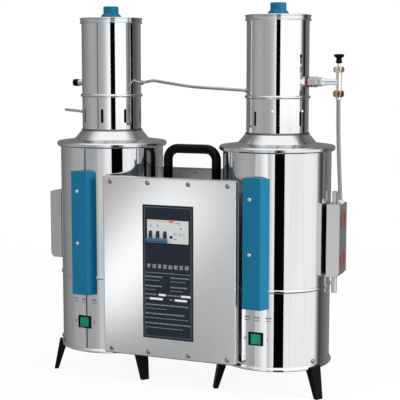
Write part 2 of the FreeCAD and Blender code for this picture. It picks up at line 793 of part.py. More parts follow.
def heater_heights():
    return [box_z + rise for rise in heater_rises]


def make_terminal_box(side):
    back = box_face_reach - box_deep
    outer = block(back, box_face_reach, -box_half_wide, box_half_wide, box_z, box_top_z)
    lower_edge = [edge for edge in outer.Edges
                  if abs(edge.CenterOfMass.x - box_face_reach) < 0.01
                  and abs(edge.CenterOfMass.z - box_z) < 0.01]
    outer = outer.makeChamfer(box_chamfer, lower_edge)
    inner = block(back + box_wall, box_face_reach - box_wall, -box_half_wide + box_wall,
                  box_half_wide - box_wall, box_z + box_wall, box_top_z - box_wall)
    inner_edge = [edge for edge in inner.Edges
                  if abs(edge.CenterOfMass.x - box_face_reach + box_wall) < 0.01
                  and abs(edge.CenterOfMass.z - box_z - box_wall) < 0.01]
    box = outer.cut(inner.makeChamfer(box_chamfer, inner_edge))
    for z in heater_heights():
        box = box.cut(rod(heater_shaft_r + slip_gap, Vector(back - 1.0, 0, z),
                          Vector(back + box_wall + 1.0, 0, z)))
    save_on_tower(side, "terminal_box", outward(side, box))


def make_terminal_gasket(side):
    back = box_face_reach - box_deep
    half_wide = box_half_wide - gasket_inset
    pad = block(boiler_r - past, back, -half_wide, half_wide,
                box_z + gasket_inset, box_top_z - gasket_inset)
    pad = pad.cut(disc(boiler_r, box_z, box_top_z))
    for z in heater_heights():
        pad = pad.cut(rod(heater_shaft_r + slip_gap, Vector(0, 0, z), Vector(back + 1.0, 0, z)))
    save_on_tower(side, "terminal_gasket", outward(side, pad))


def make_heating_elements(side):
    back = box_face_reach - box_deep
    root_x = boiler_r - heater_root
    far_x = root_x - heater_reach
    elements = []
    for z in heater_heights():
        shaft = rod(heater_shaft_r, Vector(root_x, 0, z), Vector(back + box_wall, 0, z))
        seat = Vector(back + box_wall, 0, z)
        nut = rod(heater_nut_r, seat, seat + Vector(heater_nut_deep, 0, 0))
        start_x = root_x + 1.0
        line = [Vector(start_x, -heater_loop_half, z), Vector(far_x, -heater_loop_half, z)]
        back_line = [Vector(far_x, heater_loop_half, z), Vector(start_x, heater_loop_half, z)]
        bend = Part.Arc(line[1], Vector(far_x - heater_loop_half, 0, z), back_line[0])
        path = Part.Wire([Part.LineSegment(*line).toShape(), bend.toShape(),
                          Part.LineSegment(*back_line).toShape()])
        section = Part.Wire(Part.makeCircle(heater_loop_r, line[0], Vector(-1, 0, 0)))
        loop = path.makePipeShell([section], True, True)
        elements.append(joined([shaft, nut, loop]))
    save_on_tower(side, "heating_elements", outward(side, Part.Compound(elements)))


# Control box

def rounded_tray(inset):
    """Block with rounded corners and a rounded front edge, moved in by inset."""
    half = panel_half_wide - inset
    front = -panel_front + inset
    tray = block(-half, half, front, -panel_front + panel_flange, panel_z + inset, panel_top_z - inset)
    corners = [edge for edge in tray.Edges if edge.BoundBox.YLength > panel_flange / 2.0]
    tray = tray.makeFillet(panel_corner_r - inset, corners)
    front_edges = [edge for edge in tray.Edges if edge.BoundBox.YMax < front + 0.01]
    return tray.makeFillet(panel_bend_r - inset, front_edges)


def panel_tray():
    """Sheet with its edges folded back, drawn as the front panel."""
    inner = rounded_tray(panel_sheet)
    mouth = inner.copy()
    mouth.translate(Vector(0, panel_bend_r * 2.0, 0))
    return rounded_tray(0.0).cut(inner).cut(mouth)


def panel_screw_spots():
    heights = (panel_z + panel_screw_inset, panel_top_z - panel_screw_inset)
    return [(x, z) for z in heights for x in panel_screw_xs]


def screw_holes(shape, radius):
    for x, z in panel_screw_spots():
        shape = shape.cut(rod(radius, Vector(x, -panel_front - 1.0, z),
                              Vector(x, -panel_front + panel_screw_long + 1.0, z)))
    return shape


def breaker_window(extra_y):
    gap = breaker_window_gap
    return block(-breaker_half_wide - gap, breaker_half_wide + gap, -panel_front - extra_y,
                 -panel_front + extra_y, breaker_z - breaker_nose_half_tall - gap,
                 breaker_z + breaker_nose_half_tall + gap)


def make_panels():
    tray = screw_holes(panel_tray(), panel_screw_shank_r + slip_gap)
    rear = facing(tray, 180.0)
    cable_z = panel_z + cable_hole_rise
    rear = rear.cut(rod(cable_hole_r, Vector(cable_hole_x, panel_front - past, cable_z),
                        Vector(cable_hole_x, panel_front + past, cable_z)))
    save("front_panel", tray.cut(breaker_window(panel_sheet * 2.0)))
    save("rear_panel", rear)


def chassis_plate():
    """Frame plate just behind a panel, drawn at the front."""
    near = -panel_front + panel_sheet
    half = panel_half_wide - panel_sheet - chassis_margin
    low = panel_z + panel_sheet + chassis_margin
    high = panel_top_z - panel_sheet - chassis_margin
    plate = block(-half, half, near, near + panel_sheet, low, high)
    hole = block(-chassis_half_wide + panel_sheet, chassis_half_wide - panel_sheet, near - 1.0,
                 near + panel_sheet + 1.0, low + chassis_border, deck_z - panel_sheet)
    return screw_holes(plate.cut(hole), panel_screw_shank_r)


def make_chassis():
    reach = panel_front - panel_sheet
    low = panel_z + panel_sheet + chassis_margin
    half = chassis_half_wide
    column = block(-half, half, -reach, reach, low, deck_z)
    hollow = block(-half + panel_sheet, half - panel_sheet, -reach - 1.0, reach + 1.0,
                   low + panel_sheet, deck_z - panel_sheet)
    plate = chassis_plate()
    pieces = [column.cut(hollow), plate, facing(plate, 180.0)]
    for rise in saddle_rises:
        z = panel_z + rise
        saddle = block(half - panel_sheet, tower_x, -saddle_half_wide, saddle_half_wide, z, z + saddle_tall)
        round_tower = disc(boiler_r + slip_gap, z - 1.0, z + saddle_tall + 1.0)
        round_tower.translate(Vector(tower_x, 0, 0))
        saddle = saddle.cut(round_tower)
        pieces += [saddle, facing(saddle, 180.0)]
    pieces.append(rail())
    save("chassis", joined(pieces))


def rail_front():
    return -(nose_front - breaker_nose_deep - breaker_body_deep)


def rail():
    """Rail across the chassis that carries the breaker."""
    front = rail_front()
    reach = chassis_half_wide - panel_sheet / 2.0
    half = rail_half_tall
    back = front + rail_deep
    web = half - rail_lip
    outer = block(-reach, reach, front, back, breaker_z - half, breaker_z + half)
    upper = block(-reach, reach, front + rail_sheet, back + past, breaker_z + web, breaker_z + half + past)
    lower = block(-reach, reach, front + rail_sheet, back + past, breaker_z - half - past, breaker_z - web)
    inside = block(-reach, reach, front - past, back - rail_sheet,
                   breaker_z - web + rail_sheet, breaker_z + web - rail_sheet)
    return outer.cut(upper).cut(lower).cut(inside)


def make_panel_screws():
    screws = []
    for azimuth in (0.0, 180.0):
        for x, z in panel_screw_spots():
            one = screw(panel_screw_head_r, panel_screw_head_tall, panel_screw_shank_r, panel_screw_long)
            one.translate(Vector(x, -panel_front, z))
            screws.append(facing(one, azimuth))
    save("panel_screws", Part.Compound(screws))


def make_data_plate():
    plate = block(-plate_half_wide, plate_half_wide, -panel_front - plate_thick, -panel_front,
                  plate_z, plate_top_z)
    save("data_plate", plate.cut(breaker_window(plate_thick * 2.0)))


# Breaker, its levers and its test button

def make_breaker():
    face_y = -nose_front
    body_y = face_y + breaker_nose_deep
    nose = block(-breaker_half_wide, breaker_half_wide, face_y, body_y,
                 breaker_z - breaker_nose_half_tall, breaker_z + breaker_nose_half_tall)
    body = block(-breaker_half_wide, breaker_half_wide, body_y, body_y + breaker_body_deep,
                 breaker_z - breaker_body_half_tall, breaker_z + breaker_body_half_tall)
    breaker = joined([nose, body])
    slot_r = lever_drum_r + lever_side_gap
    half = lever_half_wide + lever_side_gap
    for x in lever_xs:
        slot = block(x - half, x + half, face_y - 1.0, lever_pivot_y + slot_r,
                     lever_pivot_z - slot_r, lever_pivot_z + slot_r)
        breaker = breaker.cut(slot)
    breaker = breaker.cut(rod(lever_pin_r + pivot_gap, *lever_pin(free_gap)))
    button_z = breaker_z - button_drop
    bore = rod(button_r + pivot_gap, Vector(button_x, face_y - 1.0, button_z),
               Vector(button_x, face_y + button_long - button_proud + button_travel + free_gap, button_z))
    save("breaker_body", breaker.cut(bore))
    button = rod(button_r, Vector(button_x, face_y - button_proud, button_z),
                 Vector(button_x, face_y - button_proud + button_long, button_z))
    save("breaker_test_button", button)


def lever_pin(extra):
    """Ends of the pin that the levers turn on."""
    margin = lever_half_wide + lever_side_gap + 2.0 + extra
    return (Vector(lever_xs[0] - margin, lever_pivot_y, lever_pivot_z),
            Vector(lever_xs[-1] + margin, lever_pivot_y, lever_pivot_z))


def make_levers():
    pivot = Vector(0, lever_pivot_y, lever_pivot_z)
    pieces = [rod(lever_pin_r, *lever_pin(0.0))]
    for x in lever_xs:
        pieces.append(rod(lever_drum_r, Vector(x - lever_half_wide, lever_pivot_y, lever_pivot_z),
                          Vector(x + lever_half_wide, lever_pivot_y, lever_pivot_z)))
        pieces.append(block(x - lever_half_wide, x + lever_half_wide, lever_pivot_y - lever_reach + 1.0,
                            lever_pivot_y, lever_pivot_z - lever_half_thick,
                            lever_pivot_z + lever_half_thick))
    pieces.append(block(lever_xs[0] - lever_bar_margin, lever_xs[-1] + lever_bar_margin,
                        lever_pivot_y - lever_reach, lever_pivot_y - lever_reach + lever_bar_deep,
                        lever_pivot_z - lever_bar_half_thick, lever_pivot_z + lever_bar_half_thick))
    levers = joined(pieces)
    levers.rotate(pivot, Vector(1, 0, 0), lever_rest)
    save("breaker_levers", levers)


# Handle

def make_handle():
    grip_z = panel_top_z + handle_rise
    foot_z = deck_z
    points = [Vector(-handle_half_span, 0, foot_z), Vector(-handle_half_span, 0, grip_z),
              Vector(handle_half_span, 0, grip_z), Vector(handle_half_span, 0, foot_z)]
    handle = pipe(points, (handle_bend_r, handle_bend_r), handle_tube_r)
    feet = [rod(handle_foot_r, Vector(x, 0, foot_z), Vector(x, 0, foot_z + handle_foot_tall))
            for x in (-handle_half_span, handle_half_span)]
    feet = [foot.makeChamfer(1.0, [foot.Edges[0]]) for foot in feet]
    save("handle", joined([handle] + feet))


# Plumbing

def make_transfer_tube():
    points = transfer_points()
    middle_r = bend_radius(points[1], points[2], points[3], transfer_bend_share)
    tube = pipe(points, (transfer_bend_r, middle_r), transfer_r)
    sleeves = []
    for start, way, tower in ((points[0], points[1], -tower_x), (points[3], points[2], tower_x)):
        line = (way - start).normalize()
        end = start + line * (wall_reach + transfer_sleeve_long)
        sleeve = rod(transfer_sleeve_r, start, end)
        wall = disc(neck_r, bead_z, condenser_top_z)
        wall.translate(Vector(tower, 0, 0))
        sleeves.append(sleeve.cut(wall))
    save("transfer_tube", joined([tube] + sleeves))


def make_overflow_nipple():
    z = bead_z + nipple_rise
    start = Vector(neck_r - wall_reach, 0, z)
    shoulder = Vector(neck_r, 0, z)
    end = Vector(neck_r + nipple_long, 0, z)
    tip = end + Vector(nipple_cap_long - nipple_cap_end, 0, 0)
    nipple = rod(nipple_r, start, tip)
    flange = rod(nipple_flange_r, shoulder - Vector(past, 0, 0), shoulder + Vector(nipple_flange_thick, 0, 0))
    flange = flange.cut(disc(neck_r, z - nipple_flange_r - past, z + nipple_flange_r + past))
    bore = rod(nipple_bore_r, start, end + Vector(nipple_cap_long, 0, 0))
    save_on_tower("left", "overflow_nipple", outward("left", joined([nipple, flange]).cut(bore)))
    cap = rod(nipple_cap_r, end, end + Vector(nipple_cap_long, 0, 0))
    socket = rod(nipple_r, end, tip)
    far_edge = [edge for edge in cap.Edges if edge.CenterOfMass.x > end.x + nipple_cap_long - 0.01]
    cap = cap.makeChamfer(nipple_cap_edge, far_edge).cut(socket)
    save_on_tower("left", "nipple_cap", outward("left", cap))


def make_outlet_barb():
    foot, tip = barb_line()
    length = (tip - foot).Length
    plain = length - barb_ribbed_long
    pitch = barb_ribbed_long / barb_rib_count
    outline = [(barb_bore_r, 0), (barb_r, 0), (barb_r, plain)]
    for step in range(barb_rib_count):
        low = plain + pitch * step
        outline += [(barb_r - barb_rib_depth, low + pitch / 8.0), (barb_r, low + pitch / 2.0),
                    (barb_r - barb_rib_depth, low + pitch)]
    outline += [(barb_bore_r, length)]
    barb = turned(outline)
    barb.Placement = FreeCAD.Placement(foot, FreeCAD.Rotation(UP, tip - foot))
    save_on_tower("left", "outlet_barb", outward("left", barb))


def rounded_nut(low, high):
    return hexagon(nut_flats, low, high).common(Part.makeSphere(nut_ball_r, (low + high) * 0.5))


def make_inlet():
    wall = disc(neck_r, bead_z, condenser_top_z)
    gasket_face = neck_r + inlet_gasket_thick
    gasket = rod(inlet_gasket_r, Vector(neck_r - past, 0, valve_z), Vector(gasket_face, 0, valve_z))
    gasket = gasket.cut(wall).cut(rod(union_shank_r + slip_gap, Vector(0, 0, valve_z),
                                      Vector(gasket_face + past, 0, valve_z)))
    save_on_tower("right", "inlet_gasket", gasket)

    hex_end = gasket_face + union_long
    neck_end = hex_end + union_neck_long
    cone_end = neck_end + union_cone_long
    union = joined([
        rod(union_shank_r, Vector(neck_r - wall_reach, 0, valve_z), Vector(gasket_face + 1.0, 0, valve_z)),
        hexagon(union_flats, Vector(gasket_face, 0, valve_z), Vector(hex_end, 0, valve_z)),
        hexagon(union_neck_flats, Vector(hex_end, 0, valve_z), Vector(neck_end, 0, valve_z)),
        cone(union_cone_low_r, union_cone_high_r, Vector(neck_end, 0, valve_z),
             Vector(cone_end, 0, valve_z))])
    union = union.cut(rod(union_bore_r, Vector(0, 0, valve_z), Vector(cone_end + 1.0, 0, valve_z)))
    save_on_tower("right", "inlet_union", union)

    low = Vector(valve_reach, 0, valve_z - valve_down)
    high = Vector(valve_reach, 0, valve_top_z)
    body = joined([rod(valve_pipe_r, Vector(cone_end, 0, valve_z), Vector(valve_reach, 0, valve_z)),
                   rod(valve_tube_r, low, high)])
    body = body.cut(rod(valve_bore_r, low - UP, high + UP))
    body = body.cut(rod(union_bore_r, Vector(cone_end - 1.0, 0, valve_z), Vector(valve_reach, 0, valve_z)))
    save_on_tower("right", "valve_body", body)

    nut_top = high + UP * packing_nut_tall
    packing = rounded_nut(high, nut_top)
    save_on_tower("right", "packing_nut", packing.cut(rod(stem_r + pivot_gap, high - UP, nut_top + UP)))

    knob_low = Vector(valve_reach, 0, knob_z)
    stem = rod(stem_r, high - UP * stem_down, knob_low + UP * knob_socket)
    save_on_tower("right", "valve_stem", stem)
    knob = make_knob()
    knob.translate(knob_low)
    save_on_tower("right", "valve_knob", knob.cut(stem))

    nut_low = Vector(valve_reach, 0, hose_nut_z)
    nut_high = nut_low + UP * hose_nut_tall
    nut = joined([rounded_nut(nut_low, nut_high), rod(ferrule_r, nut_low - UP * ferrule_tall, nut_low + UP)])
    nut = nut.cut(rod(valve_tube_r + slip_gap, low, nut_high + UP))
    nut = nut.cut(rod(valve_bore_r, nut_low - UP * (ferrule_tall + 1.0), low + UP))
    save_on_tower("right", "hose_nut", nut)


def make_knob():
    """Mushroom knob standing on z = 0."""
    head = knob_tall - knob_head_tall
    return turned([
        (0, 0), (knob_neck_r - knob_edge, 0), (knob_neck_r, knob_edge), (knob_neck_r, knob_neck_tall),
        (knob_waist_r, knob_waist_rise), (knob_r - knob_edge, head), (knob_r, head + knob_edge),
        (knob_r, knob_tall - knob_edge * 2.0), (knob_r - knob_edge, knob_tall - knob_edge),
        (knob_dome_r, knob_tall), (0, knob_tall)])


def hose_points():
    lowest = box_top_z + box_ferrule_tall
    heights = [hose_top_z - fall for fall in hose_fall] + [lowest]
    return [Vector(x, y, z) for x, y, z in zip(hose_x, hose_y, heights)]


def make_hose():
    points = hose_points()
    radii = [bend_radius(before, corner, after, hose_bend_share)
             for before, corner, after in zip(points, points[1:], points[2:])]
    ends = (points[0] - (points[1] - points[0]).normalize() * past,
            points[-1] + (points[-1] - points[-2]).normalize() * past)
    span = block(0, 2.0 * tower_x, -tower_x, tower_x, points[-1].z, points[0].z)
    hose = pipe([ends[0]] + points[1:-1] + [ends[1]], radii, hose_r).common(span)
    runs = [(after - before).Length for before, after in zip(points, points[1:])]
    section = math.pi * hose_r ** 2
    print("hose runs", [round(run, 1) for run in runs], "bend radii", [round(r, 1) for r in radii],
          "volume over section", round(hose.Volume / section, 1))
    save("supply_hose", hose)
    foot = points[-1]
    seat = Vector(foot.x, foot.y, box_top_z)
    collar = hexagon(box_ferrule_flats, seat, seat + UP * box_ferrule_hex_tall)
    save("hose_ferrule", joined([rod(ferrule_r, seat, foot), collar]))


def make_box_stubs():
    low = Vector(stub_x, stub_y, box_top_z)
    top = low + UP * stub_tall
    stub = rod(stub_r, low, top)
    upper_edge = [edge for edge in stub.Edges if edge.CenterOfMass.z > top.z - 0.01]
    stub = stub.makeChamfer(1.0, upper_edge)
    save("box_stub", stub)
    drain_top = Vector(stub_x, stub_y, box_z)
    drain_low = drain_top - UP * drain_long
    save("box_drain", rod(stub_r, drain_low, drain_top).cut(
        rod(drain_bore_r, drain_low - UP, drain_top - UP * drain_end)))


os.makedirs("parts", exist_ok=True)
for tower_side in ("left", "right"):
    make_skirt(tower_side)
    make_boiler_shell(tower_side)
    make_boiler_lid(tower_side)
    make_neck(tower_side)
    make_condenser_shell(tower_side)
    make_condenser_lid(tower_side)
    make_vent_cap(tower_side)
    make_condenser_core(tower_side)
    make_legs(tower_side)
    make_gauge_cover(tower_side)
    make_switch(tower_side)
    make_terminal_box(tower_side)
    make_terminal_gasket(tower_side)
    make_heating_elements(tower_side)
make_leg_screws()
make_cover_screws()
make_panels()
make_chassis()
make_panel_screws()
make_data_plate()
make_breaker()
make_levers()
make_handle()
make_transfer_tube()
make_overflow_nipple()
make_outlet_barb()
make_inlet()
make_hose()
make_box_stubs()
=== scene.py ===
import bpy, bmesh, math, random
from math import cos, pi, radians, sin
from mathutils import Matrix, Vector


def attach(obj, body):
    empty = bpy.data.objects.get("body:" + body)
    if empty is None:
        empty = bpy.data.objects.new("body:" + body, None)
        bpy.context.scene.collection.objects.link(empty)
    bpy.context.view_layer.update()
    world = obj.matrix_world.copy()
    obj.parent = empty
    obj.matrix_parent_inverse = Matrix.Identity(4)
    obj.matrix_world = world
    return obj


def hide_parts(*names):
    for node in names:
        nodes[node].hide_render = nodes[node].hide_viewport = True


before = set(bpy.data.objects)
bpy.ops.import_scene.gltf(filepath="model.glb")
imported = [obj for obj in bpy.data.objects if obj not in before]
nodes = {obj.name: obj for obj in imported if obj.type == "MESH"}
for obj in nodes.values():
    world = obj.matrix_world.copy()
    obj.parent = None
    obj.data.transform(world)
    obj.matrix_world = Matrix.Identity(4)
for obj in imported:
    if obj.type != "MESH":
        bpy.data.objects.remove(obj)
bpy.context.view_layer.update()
scene = bpy.context.scene
scene.view_settings.view_transform = "Standard"
print("packed part loaded:", len(nodes), "nodes")

mm = 0.001
towerY = 1.7564  # mm; both towers' axes lie this far behind the origin
towerX = {"left": -181.0, "right": 181.0}
touching = 0.01 * mm  # points closer than this are one point
crispEdge = 35.0  # degrees; edges that turn more than this stay crisp, or are rounded
flatEdge = 0.5  # degrees; faces that turn less than this are made one


def linear(hexColour):
    values = [int(hexColour[i:i + 2], 16) / 255 for i in (1, 3, 5)]
    return [v / 12.92 if v <= 0.04045 else ((v + 0.055) / 1.055) ** 2.4 for v in values] + [1.0]


# adds one node: its settings, then a value or a socket for each named input
def addNode(tree, kind, settings=None, inputs=None):
    node = tree.nodes.new(kind)
    for name, value in (settings or {}).items():
        setattr(node, name, value)
    for name, value in (inputs or {}).items():
        if isinstance(value, bpy.types.NodeSocket):
            tree.links.new(value, node.inputs[name])
        else:
            node.inputs[name].default_value = value
    return node


def addObject(name, data):
    added = bpy.data.objects.new(name, data)
    scene.collection.objects.link(added)
    return added


def newMesh(name, verts, faces):
    mesh = bpy.data.meshes.new(name)
    mesh.from_pydata(verts, [], faces)
    return mesh


# an object for a mesh, riding on its body
def linkPiece(name, mesh, body, replaces=(), finish=None):
    if finish:
        mesh.materials.append(finish)
    piece = addObject(name, mesh)
    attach(piece, body)
    if replaces:
        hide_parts(*replaces)
    return piece


# a material with its Principled shader, ready for patterns
def newFinish(name, colour, metallic, roughness, specular=0.5):
    finish = bpy.data.materials.new(name)
    finish.use_nodes = True
    tree = finish.node_tree
    shader = tree.nodes["Principled BSDF"]
    shader.inputs["Base Color"].default_value = linear(colour)
    shader.inputs["Metallic"].default_value = metallic
    shader.inputs["Roughness"].default_value = roughness
    shader.inputs["Specular IOR Level"].default_value = specular
    return finish, tree, shader


# shares of the noise between which the roughness and the tint move
grainSpan = {"roughness": (0.3, 0.7), "tint": (0.35, 0.65)}


# gives a finish two tones, and blends them where a value goes from the start to the end of a span
def shadeBetween(tree, shader, value, span, tones):
    share = addNode(tree, "ShaderNodeMapRange", inputs={
        "Value": value, "From Min": span[0], "From Max": span[1]})
    tint = addNode(tree, "ShaderNodeMix", {"data_type": "RGBA"}, {
        "Factor": share.outputs["Result"], "A": linear(tones[0]), "B": linear(tones[1])})
    tree.links.new(tint.outputs["Result"], shader.inputs["Base Color"])


# fine grain: the roughness moves between two values, the surface lifts a little, and the tints mix
def addGrain(tree, shader, size, roughness, lift, tints=None, stretch=(1, 1, 1)):
    place = addNode(tree, "ShaderNodeTexCoord")
    drawn = addNode(tree, "ShaderNodeMapping", inputs={"Vector": place.outputs["Object"], "Scale": stretch})
    noise = addNode(tree, "ShaderNodeTexNoise", inputs={
        "Vector": drawn.outputs["Vector"], "Scale": 1 / (size * mm), "Detail": 3.0})
    grain = noise.outputs["Fac"]
    start, end = grainSpan["roughness"]
    rough = addNode(tree, "ShaderNodeMapRange", inputs={
        "Value": grain, "From Min": start, "From Max": end, "To Min": roughness[0], "To Max": roughness[1]})
    tree.links.new(rough.outputs["Result"], shader.inputs["Roughness"])
    bump = addNode(tree, "ShaderNodeBump", inputs={"Height": grain, "Distance": lift * mm})
    tree.links.new(bump.outputs["Normal"], shader.inputs["Normal"])
    if tints:
        shadeBetween(tree, shader, grain, grainSpan["tint"], tints)


# a plain material with grain: its size in mm, the roughness it moves between, its lift in mm, and two tints
def grained(name, colour, metallic, roughness, size, span, lift, tints, stretch=(1, 1, 1), specular=0.5):
    finish, tree, shader = newFinish(name, colour, metallic, roughness, specular)
    addGrain(tree, shader, size, span, lift, tints, stretch)
    return finish


# a CAD node's mesh with its loose triangles joined and its flat faces made whole
def wholeMesh(name):
    shape = bmesh.new()
    shape.from_mesh(nodes[name].data)
    bmesh.ops.remove_doubles(shape, verts=shape.verts, dist=touching)
    bmesh.ops.dissolve_limit(shape, angle_limit=radians(flatEdge), verts=shape.verts, edges=shape.edges)
    mesh = bpy.data.meshes.new(name)
    shape.to_mesh(mesh)
    shape.free()
    if "custom_normal" in mesh.attributes:
        mesh.attributes.remove(mesh.attributes["custom_normal"])
    smoothFaces(mesh)
    return mesh


def smoothFaces(mesh, sharpest=crispEdge):
    mesh.polygons.foreach_set("use_smooth", [True] * len(mesh.polygons))
    mesh.set_sharp_from_angle(angle=radians(sharpest))


# stands for a CAD node, with its edges rounded
def roundedPiece(node, name, body, slot, finish, width, segments):
    piece = linkPiece(name, wholeMesh(node), body, (node,), finish)
    bevel = piece.modifiers.new("softEdges", "BEVEL")
    bevel.width = width * mm
    bevel.segments = segments
    bevel.limit_method = "ANGLE"
    bevel.angle_limit = radians(crispEdge)
    bevel.harden_normals = True


# a mesh from points and faces, with its faces turned outward
def builtMesh(name, verts, faces, sharpest=crispEdge):
    mesh = newMesh(name, verts, faces)
    shape = bmesh.new()
    shape.from_mesh(mesh)
    bmesh.ops.recalc_face_normals(shape, faces=shape.faces)
    shape.to_mesh(mesh)
    shape.free()
    smoothFaces(mesh, sharpest)
    return mesh


# faces round a ring of equal sections, each with the same count of points
def ringFaces(steps, count, first=0):
    faces = []
    for step in range(steps):
        a, b = first + step * count, first + (step + 1) % steps * count
        faces += [(a + i, b + i, b + (i + 1) % count, a + (i + 1) % count) for i in range(count)]
    return faces


# a point on a tower's wall: radius and height in mm, azimuth in degrees from the front towards +X
def onTower(side, radius, azimuth, z):
    turn = radians(azimuth)
    return Vector((towerX[side] + radius * sin(turn), towerY - radius * cos(turn), z)) * mm


# a ring round a tower, turned from an outline of (radius, height) in mm
def addRing(name, side, outline, finish, steps=160):
    points = [onTower(side, radius, 360 * step / steps, z) for step in range(steps) for radius, z in outline]
    mesh = builtMesh(side + name, points, ringFaces(steps, len(outline)))
    linkPiece(side + name, mesh, "machine", finish=finish)


# puts a mesh or curve on a passing object, has it worked out, and keeps the result as plain mesh
def workedOut(name, base, prepare=None):
    helper = addObject(name, base)
    if prepare:
        prepare(helper)
    bpy.context.view_layer.update()
    mesh = bpy.data.meshes.new_from_object(helper.evaluated_get(bpy.context.evaluated_depsgraph_get()))
    bpy.data.objects.remove(helper)
    mesh.name = name
    return mesh


# runs a node tree on a mesh; values go to the tree's named inputs
def grownMesh(name, base, tree, values):
    def prepare(helper):
        growth = helper.modifiers.new("growth", "NODES")
        growth.node_group = tree
        for item in tree.interface.items_tree:
            if item.name in values:
                growth[item.identifier] = values[item.name]

    return workedOut(name, base, prepare)


def newTree(name, sockets):
    tree = bpy.data.node_groups.new(name, "GeometryNodeTree")
    tree.interface.new_socket("Geometry", in_out="INPUT", socket_type="NodeSocketGeometry")
    for label, kind in sockets:
        tree.interface.new_socket(label, in_out="INPUT", socket_type=kind)
    tree.interface.new_socket("Geometry", in_out="OUTPUT", socket_type="NodeSocketGeometry")
    return tree, addNode(tree, "NodeGroupInput").outputs


# points as a mesh, each with vectors that the trees read by name
def pointMesh(name, points, vectors):
    mesh = newMesh(name, points, [])
    for label, rows in vectors.items():
        layer = mesh.attributes.new(label, "FLOAT_VECTOR", "POINT")
        layer.data.foreach_set("vector", [value for row in rows for value in row])
    return mesh


# camera
view = {
    "place": (0.87457, -2.03655, 0.62866),
    "tilt": 83.22,
    "turn": 22.81,
    "lens": 99.0,
    "sensor": 36.0,
    "far": 50.0,
}

cameraData = bpy.data.cameras.new("camera")
cameraData.lens = view["lens"]
cameraData.sensor_width = view["sensor"]
cameraData.clip_end = view["far"]
camera = addObject("camera", cameraData)
camera.location = view["place"]
camera.rotation_euler = (radians(view["tilt"]), 0.0, radians(view["turn"]))
scene.camera = camera
print("camera placed")

# supply hose, from the valve down to the terminal box; lengths in mm, angles in degrees
hose = {
    "coreRadius": 3.6,
    "radius": 4.0,
    "length": 190.5,
    "route": [(303.0, 0.0, 570.3), (303.5, 0.3, 508.3), (306.4, 0.9, 440.3), (309.0, 2.0, 380.0)],
    "strands": 8,  # each way round
    "pitch": 36.0,  # one turn of a strand
    "strandHalfWide": 0.62,
    "strandHalfThick": 0.24,
    "weave": 0.12,
    "corners": 6,  # of a strand's section
    "crispEdge": 60,
    "lineSteps": 24,
    "roundSteps": 6,
}

hoseCurve = bpy.data.curves.new("supplyHose", "CURVE")
hoseCurve.dimensions = "3D"
hoseCurve.resolution_u = hose["lineSteps"]
hoseLine = hoseCurve.splines.new("NURBS")
hoseLine.points.add(len(hose["route"]) - 1)
for point, (x, y, z) in zip(hoseLine.points, hose["route"]):
    point.co = (x * mm, (y + towerY) * mm, z * mm, 1.0)
hoseLine.order_u = 3
hoseLine.use_endpoint_u = True
hosePoints = [vertex.co.copy() for vertex in workedOut("hoseLine", hoseCurve.copy()).vertices]
hoseCurve.bevel_depth = hose["coreRadius"] * mm
hoseCurve.bevel_resolution = hose["roundSteps"]
hoseCurve.use_fill_caps = True
# rubber hose under the braid, seen dark between the strands
hoseRubber = grained("extrudedHoseRubber", "#3A3B3C", 0.0, 0.6, 0.5, (0.5, 0.7), 0.01, ("#303132", "#464748"))
hoseCurve.materials.append(hoseRubber)
supplyHose = addObject("supplyHose", hoseCurve)


# one wire bundle of the braid, wound along the hose's line
def addStrand(verts, faces, start, way):
    around = hose["corners"]
    travelled = 0.0
    first = len(verts)
    for index, spot in enumerate(hosePoints):
        if index:
            travelled += (spot - hosePoints[index - 1]).length / mm
        before, after = hosePoints[max(index - 1, 0)], hosePoints[min(index + 1, len(hosePoints) - 1)]
        along = (after - before).normalized()
        side = (Vector((1, 0, 0)) - along * along.x).normalized()
        front = along.cross(side)
        wound = 2 * pi * travelled / hose["pitch"]
        angle = start + way * wound
        crossing = sin(hose["strands"] * wound + (0 if way > 0 else pi))
        radius = hose["radius"] - hose["strandHalfThick"] - hose["weave"] * (1 - crossing) / 2
        out = side * cos(angle) + front * sin(angle)
        across = along.cross(out)
        for corner in range(around):
            turn = 2 * pi * corner / around
            verts.append(spot + mm * (out * (radius + hose["strandHalfThick"] * cos(turn))
                                      + across * hose["strandHalfWide"] * sin(turn)))
    for index in range(len(hosePoints) - 1):
        for corner in range(around):
            a, b = first + index * around, first + (index + 1) * around
            faces.append((a + corner, a + (corner + 1) % around, b + (corner + 1) % around, b + corner))
    faces.append(tuple(first + corner for corner in reversed(range(around))))
    faces.append(tuple(len(verts) - around + corner for corner in range(around)))


verts, faces = [], []
for strand in range(hose["strands"]):
    addStrand(verts, faces, 2 * pi * strand / hose["strands"], 1)
    addStrand(verts, faces, 2 * pi * (strand + 0.5) / hose["strands"], -1)
braidMesh = builtMesh("hoseBraid", verts, faces, hose["crispEdge"])
# stainless wire bundles: bright crowns, dark between them
braidedSteel = grained(
    "braidedStainlessWire", "#C6C7C9", 1.0, 0.24, 0.4, (0.18, 0.32), 0.02, ("#B9BABC", "#D2D3D5"))
hoseBraid = linkPiece("hoseBraid", braidMesh, "machine", finish=braidedSteel)
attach(supplyHose, "machine")
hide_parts("supply_hose")
print("hose laid:", len(hosePoints), "points on its line")

